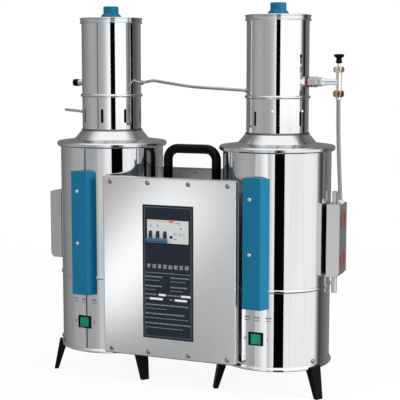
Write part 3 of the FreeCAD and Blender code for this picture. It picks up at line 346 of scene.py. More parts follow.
# studio: world, floor, cards for the polished steel to mirror, lamps; lengths in metres
studio = {
    "floorColour": "#F2F2F2",
    "floorHalf": 6.0,
    "floorGlow": (0.5, 2.0, 0.92, 1.0),  # distances and levels between which the seen floor brightens
    "fill": 0.75,
    # azimuth from the front towards +X in degrees, and grey of what the steel mirrors there
    "mirrored": [(-180, 0.22), (-150, 0.20), (-120, 0.18), (-100, 0.27), (-80, 0.34), (-65, 0.44),
                 (-45, 0.47), (-30, 0.42), (-16, 0.44), (-8, 0.50), (0, 0.60), (7, 0.82), (13, 1.1),
                 (30, 1.3), (104, 1.3), (111, 0.9), (116, 0.45), (121, 0.13), (126, 0.06), (134, 0.12),
                 (165, 0.24), (180, 0.22)],
    "horizon": (-0.07, -0.03, 1.05, 1.3),  # heights and the brightest greys allowed there
    "ground": (-0.3, -0.6, 0.16),  # heights between which the mirrored floor begins, and its grey
    # soft boxes overhead and behind: direction, cosines where it starts and is full, and level
    "softBoxes": [((-0.296, 0.732, 0.61), 0.93, 0.985, 0.6), ((0.056, -0.139, 0.989), 0.62, 0.95, 1.25)],
    # flags, as two ends on the floor plan, then the lower edge and the upper edge at each end
    "flags": [((0.5945, -1.628), (0.6962, -0.757), -0.6, 0.39, 0.431),
              ((0.5955, -1.795), (0.718, -1.027), 0.40, 0.85, 0.85),
              ((0.439, 0.152), (0.619, 0.398), 0.45, 0.85, 0.85)],
    # a lit card with its glow growing towards +X
    "card": {"x": (-0.22, 0.20), "y": -0.90, "z": (-0.6, 0.432),
             "glow": (0.68, 1.10), "glowX": (-0.10, 0.10)},
}

# area lamps; those with "lights" fall on that one CAD sheet, and the polished steel sees them
lamps = {
    "keyLamp": {"spot": (-1.4, -1.8, 1.9), "target": (0, 0, 0.3), "size": (1.6, 1.6), "power": 20},
    "sideLamp": {"spot": (2.3, -0.35, 0.9), "target": (0.2, 0, 0.3), "size": (0.8, 0.8), "power": 46},
    # a slanted strip whose blurred image lies across the satin panel, between two ends
    "panelStrip": {"spot": (-0.262, -0.563, 0.205), "target": (-0.045, -0.1182, 0.286), "size": (0.42, 0.14),
                   "power": 0.345, "lights": "front_panel",
                   "ends": ((-0.3642, -0.5519, 0.0919), (-0.15, -0.5751, 0.3687))},
    # an upright strip for the same panel's side
    "flangeStrip": {"spot": (0.574, -0.363, 0.17), "target": (0.141, -0.113, 0.24), "size": (0.08, 0.5),
                    "power": 0.45, "lights": "front_panel"},
    # a broad soft light that lays a pale cloud on the rear panel
    "rearCloud": {"spot": (-0.12, 0.80, 0.20), "target": (0.0, 0.12, 0.27), "size": (0.9, 0.3),
                  "power": 0.8, "lights": "rear_panel"},
}

world = bpy.data.worlds.new("studio")
scene.world = world
world.use_nodes = True
tree = world.node_tree
tree.nodes.clear()
place = addNode(tree, "ShaderNodeTexCoord")
axes = addNode(tree, "ShaderNodeSeparateXYZ", inputs={"Vector": place.outputs["Generated"]}).outputs
flipped = addNode(tree, "ShaderNodeMath", {"operation": "MULTIPLY"}, {0: axes["Y"], 1: -1.0})
azimuth = addNode(tree, "ShaderNodeMath", {"operation": "ARCTAN2"}, {0: axes["X"], 1: flipped.outputs[0]})
share = addNode(tree, "ShaderNodeMapRange", inputs={
    "Value": azimuth.outputs[0], "From Min": -pi, "From Max": pi})
ramp = addNode(tree, "ShaderNodeValToRGB", inputs={"Fac": share.outputs["Result"]})
while len(ramp.color_ramp.elements) > 1:
    ramp.color_ramp.elements.remove(ramp.color_ramp.elements[0])
for index, (angle, grey) in enumerate(studio["mirrored"]):
    spot = (angle + 180) / 360
    stop = ramp.color_ramp.elements[0] if index == 0 else ramp.color_ramp.elements.new(spot)
    stop.position = spot
    stop.color = (grey, grey, grey, 1.0)
start, end, least, most = studio["horizon"]
limit = addNode(tree, "ShaderNodeMapRange", inputs={
    "Value": axes["Z"], "From Min": start, "From Max": end, "To Min": least, "To Max": most})
level = addNode(tree, "ShaderNodeMath", {"operation": "MINIMUM"}, {
    0: ramp.outputs["Color"], 1: limit.outputs["Result"]})
sky = level.outputs[0]

for direction, start, full, glow in studio["softBoxes"]:
    near = addNode(tree, "ShaderNodeVectorMath", {"operation": "DOT_PRODUCT"}, {
        0: place.outputs["Generated"], 1: direction})
    edge = addNode(tree, "ShaderNodeMapRange", {"interpolation_type": "SMOOTHSTEP"}, {
        "Value": near.outputs["Value"], "From Min": start, "From Max": full})
    mixed = addNode(tree, "ShaderNodeMix", {"data_type": "FLOAT"}, {
        "Factor": edge.outputs["Result"], "A": sky, "B": glow})
    sky = mixed.outputs["Result"]
start, full, grey = studio["ground"]
low = addNode(tree, "ShaderNodeMapRange", {"interpolation_type": "SMOOTHSTEP"}, {
    "Value": axes["Z"], "From Min": start, "From Max": full})
ground = addNode(tree, "ShaderNodeMix", {"data_type": "FLOAT"}, {
    "Factor": low.outputs["Result"], "A": sky, "B": grey})
rays = addNode(tree, "ShaderNodeLightPath")
plain, white, mirrored = [
    addNode(tree, "ShaderNodeBackground", inputs={"Color": (1, 1, 1, 1), "Strength": strength})
    for strength in (studio["fill"], 1.0, ground.outputs["Result"])]
shiny = addNode(tree, "ShaderNodeMixShader", inputs={
    0: rays.outputs["Is Glossy Ray"], 1: plain.outputs[0], 2: mirrored.outputs[0]})
seen = addNode(tree, "ShaderNodeMixShader", inputs={
    0: rays.outputs["Is Camera Ray"], 1: shiny.outputs[0], 2: white.outputs[0]})
addNode(tree, "ShaderNodeOutputWorld", inputs={"Surface": seen.outputs[0]})

# the floor takes shadows, and the camera sees it lifted towards white
floorFinish, tree, shader = newFinish("paintedPaleFloor", studio["floorColour"], 0.0, 0.9, 0.0)
rays = addNode(tree, "ShaderNodeLightPath")
place = addNode(tree, "ShaderNodeTexCoord")
away = addNode(tree, "ShaderNodeVectorMath", {"operation": "LENGTH"}, {0: place.outputs["Object"]})
start, end, least, most = studio["floorGlow"]
fade = addNode(tree, "ShaderNodeMapRange", inputs={
    "Value": away.outputs["Value"], "From Min": start, "From Max": end, "To Min": least, "To Max": most})
lift = addNode(tree, "ShaderNodeMath", {"operation": "MULTIPLY"}, {
    0: rays.outputs["Is Camera Ray"], 1: fade.outputs["Result"]})
glow = addNode(tree, "ShaderNodeEmission", inputs={"Color": (1, 1, 1, 1), "Strength": 1.0})
both = addNode(tree, "ShaderNodeMixShader", inputs={
    0: lift.outputs[0], 1: shader.outputs[0], 2: glow.outputs[0]})
tree.links.new(both.outputs[0], tree.nodes["Material Output"].inputs["Surface"])


# a flat sheet of the studio
def addSheet(name, finish, corners):
    mesh = newMesh(name, corners, [(0, 1, 2, 3)])
    mesh.materials.append(finish)
    sheet = addObject(name, mesh)
    return sheet


half = studio["floorHalf"]
floor = addSheet("floor", floorFinish, [
    (-half, -half, 0), (half, -half, 0), (half, half, 0), (-half, half, 0)])
floor.visible_glossy = False


# an upright sheet that only the polished steel sees
def addScreen(name, finish, start, end, low, high0, high1):
    (x0, y0), (x1, y1) = start, end
    screen = addSheet(name, finish, [(x0, y0, low), (x1, y1, low), (x1, y1, high1), (x0, y0, high0)])
    screen.visible_camera = screen.visible_diffuse = False
    screen.visible_shadow = screen.visible_transmission = False


# dead black cloth, which the polished steel mirrors as dark upright bands
flagFinish = newFinish("blackFlag", "#050505", 0.0, 1.0, 0.0)[0]
for index, flag in enumerate(studio["flags"]):
    addScreen("flag" + str(index), flagFinish, *flag)

# a card that glows more towards +X, which the polished steel mirrors as a graded bright band
card = studio["card"]
cardFinish, tree, shader = newFinish("litCard", "#000000", 0.0, 1.0, 0.0)
place = addNode(tree, "ShaderNodeTexCoord")
axes = addNode(tree, "ShaderNodeSeparateXYZ", inputs={"Vector": place.outputs["Object"]}).outputs
(start, end), (dim, bright) = card["glowX"], card["glow"]
glow = addNode(tree, "ShaderNodeMapRange", inputs={
    "Value": axes["X"], "From Min": start, "From Max": end, "To Min": dim, "To Max": bright})
lit = addNode(tree, "ShaderNodeEmission", inputs={"Color": (1, 1, 1, 1), "Strength": glow.outputs["Result"]})
tree.links.new(lit.outputs[0], tree.nodes["Material Output"].inputs["Surface"])
low, high = card["z"]
addScreen("litCard", cardFinish, (card["x"][0], card["y"]), (card["x"][1], card["y"]), low, high, high)

litSheets = {}
for name, lamp in lamps.items():
    data = bpy.data.lights.new(name, "AREA")
    data.shape = "RECTANGLE" if "lights" in lamp else "SQUARE"
    data.size, data.size_y = lamp["size"]
    data.energy = lamp["power"]
    light = addObject(name, data)
    light.location = lamp["spot"]
    back = (Vector(lamp["spot"]) - Vector(lamp["target"])).normalized()
    if "ends" in lamp:
        along = Vector(lamp["ends"][1]) - Vector(lamp["ends"][0])
        along = (along - back * along.dot(back)).normalized()
        light.rotation_euler = Matrix((along, back.cross(along), back)).transposed().to_euler()
    else:
        light.rotation_euler = (-back).to_track_quat("-Z", "Y").to_euler()
    light.visible_glossy = "lights" in lamp
    if "lights" in lamp:
        light.visible_camera = False
        sheet = lamp["lights"]
        if sheet not in litSheets:
            litSheets[sheet] = bpy.data.collections.new("lit" + sheet.title().replace("_", ""))
            litSheets[sheet].objects.link(nodes[sheet])
        light.light_linking.receiver_collection = litSheets[sheet]
print("studio built")

# polished by wheel after rolling: it mirrors the room, a little wavy along its height
mirrorSteel = grained("mirrorPolishedStainless", "#E2E3E5", 1.0, 0.04, 6.0, (0.025, 0.055), 0.009,
                      ("#DFE0E2", "#E6E7E9"), (1, 1, 0.02))
# rolled sheet with a fine satin grain along its width: it blurs lights into soft clouds
satinSteel = grained(
    "satinStainlessSheet", "#D4D5D6", 1.0, 0.34, 0.7, (0.32, 0.35), 0.0008,
    ("#D0D1D2", "#D9DADB"), (0.06, 1, 1))
# mill-finished sheet of the frame inside and on top: pale, dry and without a clear reflection
millSteel = grained(
    "millFinishSteelSheet", "#E2E3E4", 1.0, 0.5, 1.6, (0.44, 0.58), 0.006, ("#DCDDDE", "#E8E9EA"))
# thin bright zinc over turned and pressed steel: a sharp but slightly soft glint
platedSteel = grained(
    "brightZincPlatedSteel", "#CFD1D2", 1.0, 0.16, 1.4, (0.10, 0.20), 0.006, ("#C9CBCC", "#D5D7D8"))
# chromed fittings: near mirrors with sharp edges
chromedBrass = grained(
    "chromePlatedBrass", "#ECEDEE", 1.0, 0.07, 2.0, (0.04, 0.10), 0.006, ("#E8E9EB", "#F0F1F2"))
# lids spun on a lathe and only buffed: rings too fine to see turn the mirror into a soft sheen
spunSteel = grained(
    "buffedSpunStainless", "#DCDDDF", 1.0, 0.15, 1.4, (0.11, 0.19), 0.004, ("#D6D7D9", "#E2E3E5"), (1, 1, 3))
# screws with a dull zinc coat, darker than the sheet they hold
screwSteel = grained("dullZincCoat", "#A4A6A8", 1.0, 0.12, 1.2, (0.08, 0.16), 0.006, ("#989A9C", "#B0B2B4"))
# drawn tube, grey with fine lines along it
drawnSteel = grained(
    "drawnSteelTube", "#B4B6B8", 1.0, 0.26, 1.0, (0.20, 0.32), 0.006, ("#A8AAAC", "#C0C2C4"), (0.1, 1, 1))
# inner tubes painted dark: painted shade where they show through the slots
coreSteelPaintedShade = grained("innerSteelPaintedShade", "#2A2A2A", 1.0, 0.6, 3.0, (0.5, 0.7), 0.02, ("#222222", "#343332"))
# moulded ABS, semi-gloss with a very fine grain
bluePlastic = grained(
    "mouldedBlueAbs", "#046485", 0.0, 0.28, 0.5, (0.20, 0.32), 0.004, ("#045F7E", "#05688B"), specular=0.2)
# clear green polycarbonate over the lamp in the switch: glassy, deep green
greenPlastic = grained(
    "tintedGreenPolycarbonate", "#077A63", 0.0, 0.15, 2.4, (0.10, 0.20), 0.01,
    ("#06705B", "#0A866D"), specular=0.2)
# moulded polyamide of the breaker, pale and matt
ivoryPlastic = grained(
    "mouldedGreyPolyamide", "#C4C7C6", 0.0, 0.45, 0.6, (0.40, 0.52), 0.008, ("#C0C3C2", "#C9CCCB"))
# moulded nylon, near black with a soft sheen
blackPlastic = grained(
    "mouldedBlackNylon", "#040404", 0.0, 0.34, 0.8, (0.26, 0.42), 0.01, ("#030303", "#060607"), specular=0.1)
# coated tube of the handle: deep black that catches a thin bright line
blackCoat = grained(
    "glossBlackCoat", "#020202", 0.0, 0.2, 1.5, (0.15, 0.25), 0.006, ("#020202", "#050505"), specular=0.14)
# sheet rubber: dull black that takes the light away
blackRubber = grained(
    "blackSheetRubber", "#050505", 0.0, 0.8, 1.0, (0.7, 0.9), 0.02, ("#030303", "#080808"), specular=0.02)
# painted shade on the switch's green cover: its rounded edges, where it turns away from the lamp, are much
# darker
shadedRimPlastic = grained(
    "greenPolycarbonatePaintedShade", "#06382F", 0.0, 0.2, 2.4, (0.14, 0.26), 0.01, ("#053029", "#084237"))
# pressed vulcanised fibre, dry and red-brown
brownFibre = grained(
    "redFibreWasher", "#6E3432", 0.0, 0.7, 0.7, (0.6, 0.8), 0.02, ("#622D2A", "#7A3B39"), (1, 1, 0.2))
# printed aluminium foil: dark navy ink, even and slightly glossy
platePaint = grained(
    "printedDarkFoil", "#141F2B", 0.0, 0.35, 1.2, (0.30, 0.42), 0.003, ("#121C27", "#17232F"), specular=0.3)
# turned brass, warm, with fine tool lines round it
machinedBrass = grained(
    "turnedBrass", "#C99E6E", 1.0, 0.2, 0.8, (0.14, 0.26), 0.006, ("#BE9260", "#D4AA7C"), (0.1, 0.1, 1))
# brass of the packing nut, paler than the hose nut's: pale rose
paleBrass = grained(
    "paleRoseBrass", "#F2DAC2", 1.0, 0.28, 0.8, (0.24, 0.34), 0.006,
    ("#EDD2B8", "#F7E2CD"), (0.1, 0.1, 1))
# painted highlight: the necks' rivet heads made plain white, bright against the steel
rivetWhiteHighlight = grained("whitePaintedHighlight", "#F4F4F2", 0.0, 0.3, 0.6, (0.25, 0.38), 0.004, ("#F0F0EE", "#F8F8F6"))
# heat-tinted weld bead, darker and duller than the sheet
weldFinish = grained("heatTintedWeld", "#6E7073", 1.0, 0.38, 1.2, (0.3, 0.46), 0.05, ("#5C5E61", "#808285"))


# screen-printed inks, matt with slightly uneven cover
def printedInk(name, colour, tints, roughness=0.6, span=(0.55, 0.68)):
    return grained(name, colour, 0.0, roughness, 1.0, span, 0.002, tints)


paleInk = printedInk("screenPrintedPaleInk", "#A8AFB5", ("#9DA4AB", "#B2B9BF"))
dimInk = printedInk("screenPrintedDimInk", "#717B84", ("#667079", "#7D8790"))
whiteInk = printedInk("screenPrintedWhiteInk", "#D9DCDD", ("#CFD2D4", "#E2E4E5"))
slateInk = printedInk("screenPrintedSlateInk", "#646C76", ("#5C646E", "#6C747E"), 0.5, (0.45, 0.58))
darkInk = printedInk("screenPrintedGreyInk", "#505356", ("#474A4D", "#5B5E61"))
redInk = printedInk("padPrintedRedInk", "#C98A78", ("#C08070", "#D29484"))
# the breaker's flag: bright, slightly glossy orange
orangePlastic = grained(
    "mouldedOrangePolyamide", "#D9622B", 0.0, 0.4, 0.6, (0.35, 0.46), 0.006, ("#CF5823", "#E26D35"))

# ribbed spout: plated, with painted shade in the root of each rib; in mm, the root in shares of a pitch
ribs = {"pitch": 5.692, "first": 251.8, "root": (0.12, 0.26), "tones": ("#3C3E40", "#C6C8CA")}
ribbedSteel, tree, shader = newFinish("ribbedPlatedSteelRootShade", "#CFD1D2", 1.0, 0.2)
addGrain(tree, shader, 1.4, (0.14, 0.26), 0.006)
place = addNode(tree, "ShaderNodeTexCoord")
axes = addNode(tree, "ShaderNodeSeparateXYZ", inputs={"Vector": place.outputs["Object"]}).outputs
turns = addNode(tree, "ShaderNodeMath", {"operation": "MULTIPLY_ADD"}, {
    0: axes["X"], 1: -1 / (ribs["pitch"] * mm), 2: -ribs["first"] / ribs["pitch"]})
root = addNode(tree, "ShaderNodeMath", {"operation": "PINGPONG"}, {0: turns.outputs[0], 1: 0.5})
# the dark tone is painted shade in each rib's root, and the pale one is the plated crest
shadeBetween(tree, shader, root.outputs[0], ribs["root"], ribs["tones"])

# toggles of the breaker: one teal bar below, and dark caps above the heights given in metres
levers = {"capZ": (0.3035, 0.3045), "tones": ("#1D5C7C", "#14222B")}
leverFinish, tree, shader = newFinish("tealAndDarkPolyamide", levers["tones"][0], 0.0, 0.36)
addGrain(tree, shader, 0.6, (0.30, 0.42), 0.006)
place = addNode(tree, "ShaderNodeTexCoord")
axes = addNode(tree, "ShaderNodeSeparateXYZ", inputs={"Vector": place.outputs["Object"]}).outputs
shadeBetween(tree, shader, axes["Z"], levers["capZ"], levers["tones"])

finishes = {
    "polished_steel": mirrorSteel, "plain_steel": platedSteel, "sheet_steel": satinSteel,
    "steel_braid": braidedSteel, "blue_plastic": bluePlastic, "green_plastic": greenPlastic,
    "ivory_plastic": ivoryPlastic, "black_plastic": blackPlastic, "black_rubber": blackRubber,
    "brown_gasket": brownFibre, "plate_paint": platePaint, "brass": machinedBrass,
}
ownFinishes = {
    "right_valve_body": chromedBrass, "right_valve_stem": chromedBrass,
    "left_overflow_nipple": chromedBrass, "left_outlet_barb": ribbedSteel, "hose_ferrule": chromedBrass,
    "chassis": millSteel, "transfer_tube": drawnSteel, "handle": blackCoat,
}
for side in towerX:
    # the cores behind the neck slots take the painted shade
    ownFinishes[side + "_condenser_core"] = coreSteelPaintedShade
    ownFinishes[side + "_boiler_lid"] = ownFinishes[side + "_condenser_lid"] = spunSteel
for name, node in nodes.items():
    for spot in node.material_slots:
        spot.material = ownFinishes.get(name, finishes[spot.material.name.split(".")[0]])
print("finishes made")

# rounded pieces that stand for plain CAD nodes: name, body, slot, finish, then the edge's width in mm and
# its steps
rounded = {}
for side in towerX:
    rounded[side + "_gauge_cover"] = (side + "GaugeCover", "machine", "blue_plastic", bluePlastic, 1.8, 4)
    rounded[side + "_switch_bezel"] = (side + "SwitchBezel", "machine", "black_plastic", blackPlastic, 0.5, 3)
    rounded[side + "_terminal_box"] = (side + "TerminalBox", "machine", "sheet_steel", satinSteel, 1.0, 3)
rounded["breaker_body"] = ("breakerBody", "machine", "ivory_plastic", ivoryPlastic, 0.4, 2)
rounded["breaker_levers"] = ("breakerLevers", "breaker_lever_bar", "blue_plastic", leverFinish, 0.6, 3)
rounded["right_inlet_union"] = ("inletUnion", "machine", "plain_steel", chromedBrass, 0.5, 3)
for side in towerX:
    rounded[side + "_switch_rocker"] = (
        side + "Rocker", side + "_rocker", "green_plastic", greenPlastic, 1.4, 4)
for node, values in rounded.items():
    roundedPiece(node, *values)
# the boxes' outer faces step back to give the heaters' washers room, and the rockers' edges get painted shade
boxFace = {"from": 316.3, "step": 0.6}
for side in towerX:
    for vertex in bpy.data.objects[side + "TerminalBox"].data.vertices:
        if abs(vertex.co.x) > boxFace["from"] * mm:
            vertex.co.x -= math.copysign(boxFace["step"] * mm, vertex.co.x)
    rocker = bpy.data.objects[side + "Rocker"]
    # the rocker's rounded edges take the painted shade
    rocker.data.materials.append(shadedRimPlastic)
    rocker.modifiers["softEdges"].material = 1

# hexagon nuts with their corners turned off and a flat towards the front right, and the hose nut's crimped
# tail; lengths in mm, angles in degrees
nuts = {
    "axisX": 303.0, "flats": 18.0, "flatAzimuth": 16.0, "steps": 96, "crispEdge": 25,
    # the end's edge as (radius, height): the chamfer steepens towards the corner
    "end": ((7.6, 0.0), (9.2, 1.085), (10.39, 3.1)),
    "packingNut": {"node": "right_packing_nut", "low": 622.5, "high": 633.5, "bore": 2.7},
    "hoseNut": {"node": "right_hose_nut", "low": 575.8, "high": 588.5, "bore": 5.0},
    "tail": [(4.0, 570.3), (4.9, 570.3), (5.3, 570.7), (5.3, 576.2), (4.0, 576.2)],
}


# a piece turned round the valve's axis, cut by six flats where they are given
def addTurned(name, outline, finish, replaces=(), flats=None):
    verts = []
    for step in range(nuts["steps"]):
        turn = 2 * pi * step / nuts["steps"]
        offset = (turn + pi / 6) % (pi / 3) - pi / 6
        turn += radians(nuts["flatAzimuth"])
        for radius, z in outline:
            reach = min(radius, flats / 2 / cos(offset)) if flats else radius
            verts.append(Vector((nuts["axisX"] + reach * sin(turn), towerY - reach * cos(turn), z)) * mm)
    mesh = builtMesh(name, verts, ringFaces(nuts["steps"], len(outline)), nuts["crispEdge"])
    linkPiece(name, mesh, "machine", replaces, finish)


for name, finish in (("packingNut", paleBrass), ("hoseNut", machinedBrass)):
    nut = nuts[name]
    outline = [(nut["bore"], nut["low"])] + [(radius, nut["low"] + rise) for radius, rise in nuts["end"]]
    outline += [(radius, nut["high"] - rise) for radius, rise in reversed(nuts["end"])]
    outline.append((nut["bore"], nut["high"]))
    addTurned(name, outline, finish, (nut["node"],), nuts["flats"])
addTurned("hoseNutTail", nuts["tail"], chromedBrass)
print("edges rounded")

# washers of the heaters' ends, on the boxes' outer faces: rings as (inner, outer) radius, all in mm
washers = {"z": (266.0, 342.0), "rings": ((13.4, 18.0), (7.2, 10.2)), "x": (315.6, 316.4), "steps": 48}
for side in towerX:
    verts, faces = [], []
    way = math.copysign(1, towerX[side])
    for z in washers["z"]:
        for inner, outer in washers["rings"]:
            low, high = washers["x"]
            outline = [(inner, low), (inner, high), (outer, high), (outer, low)]
            faces += ringFaces(washers["steps"], len(outline), len(verts))
            for step in range(washers["steps"]):
                turn = 2 * pi * step / washers["steps"]
                verts += [Vector((way * x, towerY + radius * cos(turn), z + radius * sin(turn))) * mm
                          for radius, x in outline]
    mesh = builtMesh(side + "HeaterWashers", verts, faces)
    linkPiece(side + "HeaterWashers", mesh, "machine", finish=brownFibre)

# condenser necks, with their vent slots; lengths in mm, azimuths in degrees
neck = {
    "radius": 60.8, "wall": 0.8, "low": 506.0, "high": 572.0,
    "slots": 8, "slotWide": 5.5, "slotLow": 520.25, "slotHigh": 548.75,
    "firstSlot": {"left": 8.5, "right": 19.5},
    "slotColumns": 8, "wallColumns": 28,
}


def thickenWall(helper):
    wall = helper.modifiers.new("wall", "SOLIDIFY")
    wall.thickness = neck["wall"] * mm
    wall.offset = -1.0


def addNeck(side):
    corner = neck["slotWide"] / 2
    half = math.degrees(math.asin(corner / neck["radius"]))
    pitch = 360 / neck["slots"]
    columns = []
    for slot in range(neck["slots"]):
        centre = neck["firstSlot"][side] + pitch * slot
        for step in range(neck["slotColumns"]):
            columns.append((centre - half + 2 * half * step / neck["slotColumns"], True))
        for step in range(neck["wallColumns"]):
            columns.append((centre + half + (pitch - 2 * half) * step / neck["wallColumns"], False))
    verts, faces = [], []
    for azimuth, _ in columns:
        offset = (azimuth - neck["firstSlot"][side] + pitch / 2) % pitch - pitch / 2
        across = min(abs(neck["radius"] * sin(radians(offset))), corner)
        rise = corner - math.sqrt(corner ** 2 - across ** 2)
        for z in (neck["low"], neck["slotLow"] + rise, neck["slotHigh"] - rise, neck["high"]):
            verts.append(onTower(side, neck["radius"], azimuth, z))
    for index, (_, slotted) in enumerate(columns):
        a, b = index * 4, (index + 1) % len(columns) * 4
        for row in (0, 1, 2):
            if row != 1 or not slotted:
                faces.append((a + row, b + row, b + row + 1, a + row + 1))
    mesh = workedOut(side + "Neck", newMesh(side + "Neck", verts, faces), thickenWall)
    smoothFaces(mesh)
    linkPiece(side + "Neck", mesh, "machine", (side + "_condenser_neck",), mirrorSteel)


for side in towerX:
    addNeck(side)
print("necks cut")

# rolled seam round each boiler, in mm: a half round on a root sunk into the wall
seam = {"radius": 106.0, "root": 105.6, "proud": 1.8, "z": 210.5, "half": 3.4, "steps": 8}
outline = [(seam["root"], seam["z"] - seam["half"])]
for step in range(seam["steps"] + 1):
    turn = pi * (step / seam["steps"] - 0.5)
    outline.append((seam["radius"] + seam["proud"] * cos(turn),
                    seam["z"] + seam["half"] * sin(turn)))
outline.append((seam["root"], seam["z"] + seam["half"]))
for side in towerX:
    addRing("RolledSeam", side, outline, mirrorSteel)
# soldered joint where each neck meets its lid's cone, as (radius, height) in mm
neckJoint = [(60.4, 507.2), (61.4, 507.2), (62.0, 505.9), (63.2, 504.2), (62.2, 503.9)]
for side in towerX:
    addRing("NeckJoint", side, neckJoint, weldFinish)
print("seams rolled")

# domed heads with a cross recess, grown from points: a ball's upper half less two crossed bars
screwTree, given = newTree("screwSet", [(label, "NodeSocketFloat") for label in
                                        ("Head Radius", "Head Height", "Recess Reach", "Recess Width")]
                           + [("Finish", "NodeSocketMaterial")])
underHead = 0.04  # metres, the block that takes the ball's lower half away
headEdge = 30  # degrees, the crisp edges of the recess
ball = addNode(screwTree, "GeometryNodeMeshUVSphere", inputs={"Segments": 28, "Rings": 14, "Radius": 1.0})
size = addNode(screwTree, "ShaderNodeCombineXYZ", inputs={
    "X": given["Head Radius"], "Y": given["Head Radius"], "Z": given["Head Height"]})
dome = addNode(screwTree, "GeometryNodeTransform", inputs={
    "Geometry": ball.outputs["Mesh"], "Scale": size.outputs[0]})
block = addNode(screwTree, "GeometryNodeMeshCube", inputs={"Size": (underHead, underHead, underHead)})
under = addNode(screwTree, "GeometryNodeTransform", inputs={
    "Geometry": block.outputs["Mesh"], "Translation": (0, 0, -underHead / 2)})
top = addNode(screwTree, "ShaderNodeCombineXYZ", inputs={"Z": given["Head Height"]})
barSize = addNode(screwTree, "ShaderNodeCombineXYZ", inputs={
    "X": given["Recess Reach"], "Y": given["Recess Width"], "Z": given["Recess Width"]})
bar = addNode(screwTree, "GeometryNodeMeshCube", inputs={"Size": barSize.outputs[0]})
barOne, barTwo = [
    addNode(screwTree, "GeometryNodeTransform", inputs={
        "Geometry": bar.outputs["Mesh"], "Translation": top.outputs[0], "Rotation": (0, 0, turn)})
    for turn in (0, pi / 2)]
cut = addNode(screwTree, "GeometryNodeMeshBoolean", {"operation": "DIFFERENCE", "solver": "EXACT"},
              {0: dome.outputs[0]})
for tool in (barTwo, barOne, under):
    screwTree.links.new(tool.outputs[0], cut.inputs[1])


# ends a tree: one copy of a mesh on each point, turned and sized as given, made real and coated
def finishTree(tree, given, instance, **placing):
    placed = addNode(tree, "GeometryNodeInstanceOnPoints", inputs={
        "Points": given["Geometry"], "Instance": instance.outputs["Mesh"], **placing})
    real = addNode(tree, "GeometryNodeRealizeInstances", inputs={"Geometry": placed.outputs["Instances"]})
    coated = addNode(tree, "GeometryNodeSetMaterial", inputs={
        "Geometry": real.outputs[0], "Material": given["Finish"]})
    addNode(tree, "NodeGroupOutput", inputs={"Geometry": coated.outputs[0]})


facing = addNode(screwTree, "GeometryNodeInputNamedAttribute", {"data_type": "FLOAT_VECTOR"}, {
    "Name": "facing"})
aimed = addNode(screwTree, "FunctionNodeAlignRotationToVector", {"axis": "Z"}, {
    "Vector": facing.outputs["Attribute"]})
finishTree(screwTree, given, cut, Rotation=aimed.outputs[0])


# where each screw of a CAD node has its head: the middle of the head's seat, and the way it faces
def headSpots(node, facingOf, tall):
    shape = bmesh.new()
    shape.from_mesh(nodes[node].data)
    bmesh.ops.remove_doubles(shape, verts=shape.verts, dist=touching)
    waiting, spots, ways = set(shape.verts), [], []
    for seed in shape.verts:
        if seed not in waiting:
            continue
        waiting.remove(seed)
        stack, island = [seed], []
        while stack:
            vertex = stack.pop()
            island.append(vertex.co.copy())
            for edge in vertex.link_edges:
                other = edge.other_vert(vertex)
                if other in waiting:
                    waiting.remove(other)
                    stack.append(other)
        centre = Vector([(min(p[i] for p in island) + max(p[i] for p in island)) / 2 for i in range(3)])
        way = facingOf(centre)
        tip = max(p.dot(way) for p in island)
        spots.append(centre + way * (tip - centre.dot(way) - tall * mm))
        ways.append(way)
    shape.free()
    return spots, ways


def outFromTower(centre):
    side = "left" if centre.x < 0 else "right"
    return Vector((centre.x - towerX[side] * mm, centre.y - towerY * mm, 0)).normalized()


coverAzimuth = {"left": -6.1, "right": -3.75}  # the way each gauge cover faces, in degrees from the front


def outFromCover(centre):
    turn = radians(coverAzimuth["left" if centre.x < 0 else "right"])
    return Vector((sin(turn), -cos(turn), 0))


def outFromPanel(centre):
    return Vector((0, math.copysign(1, centre.y), 0))


# domes grown on a set of spots, each facing its way; sizes in mm
def addHeads(name, spots, ways, screw, replaces=()):
    mesh = grownMesh(name, pointMesh(name, spots, {"facing": ways}), screwTree,
                     {"Head Radius": screw["radius"] * mm, "Head Height": screw["tall"] * mm,
                      "Recess Reach": screw["reach"] * mm, "Recess Width": screw["recess"] * mm,
                      "Finish": screw["finish"]})
    smoothFaces(mesh, headEdge)
    linkPiece(name, mesh, "machine", replaces)


screwSets = {
    "legScrews": {"node": "leg_screws", "facing": outFromTower, "finish": screwSteel,
                  "radius": 4.8, "tall": 3.2, "reach": 5.4, "recess": 1.3},
    "coverScrews": {"node": "cover_screws", "facing": outFromCover, "finish": chromedBrass,
                    "radius": 4.2, "tall": 2.2, "reach": 4.4, "recess": 1.2},
    "panelScrews": {"node": "panel_screws", "facing": outFromPanel, "finish": screwSteel,
                    "radius": 5.0, "tall": 2.6, "reach": 5.6, "recess": 1.4},
}
for name, screw in screwSets.items():
    spots, ways = headSpots(screw["node"], screw["facing"], screw["tall"])
    addHeads(name, spots, ways, screw, (screw["node"],))
    print(name, len(spots))

# two rivet heads on the right neck, white as a painted highlight, and one small screw on the left boiler
rivets = {
    "neckPlugs": {"spots": [("right", 60.8, 9.5, 549.0), ("right", 60.8, 70.0, 549.0)],
                  "slot": "ivory_plastic", "finish": rivetWhiteHighlight,
                  "radius": 2.1, "tall": 0.9, "reach": 1.4, "recess": 0.4},
    "boilerRivet": {"spots": [("left", 106.0, 84.0, 432.0)], "slot": "plain_steel", "finish": platedSteel,
                    "radius": 1.7, "tall": 0.9, "reach": 1.4, "recess": 0.4},
}
for name, rivet in rivets.items():
    spots = [onTower(*spot) for spot in rivet["spots"]]
    addHeads(name, spots, [outFromTower(spot) for spot in spots], rivet)

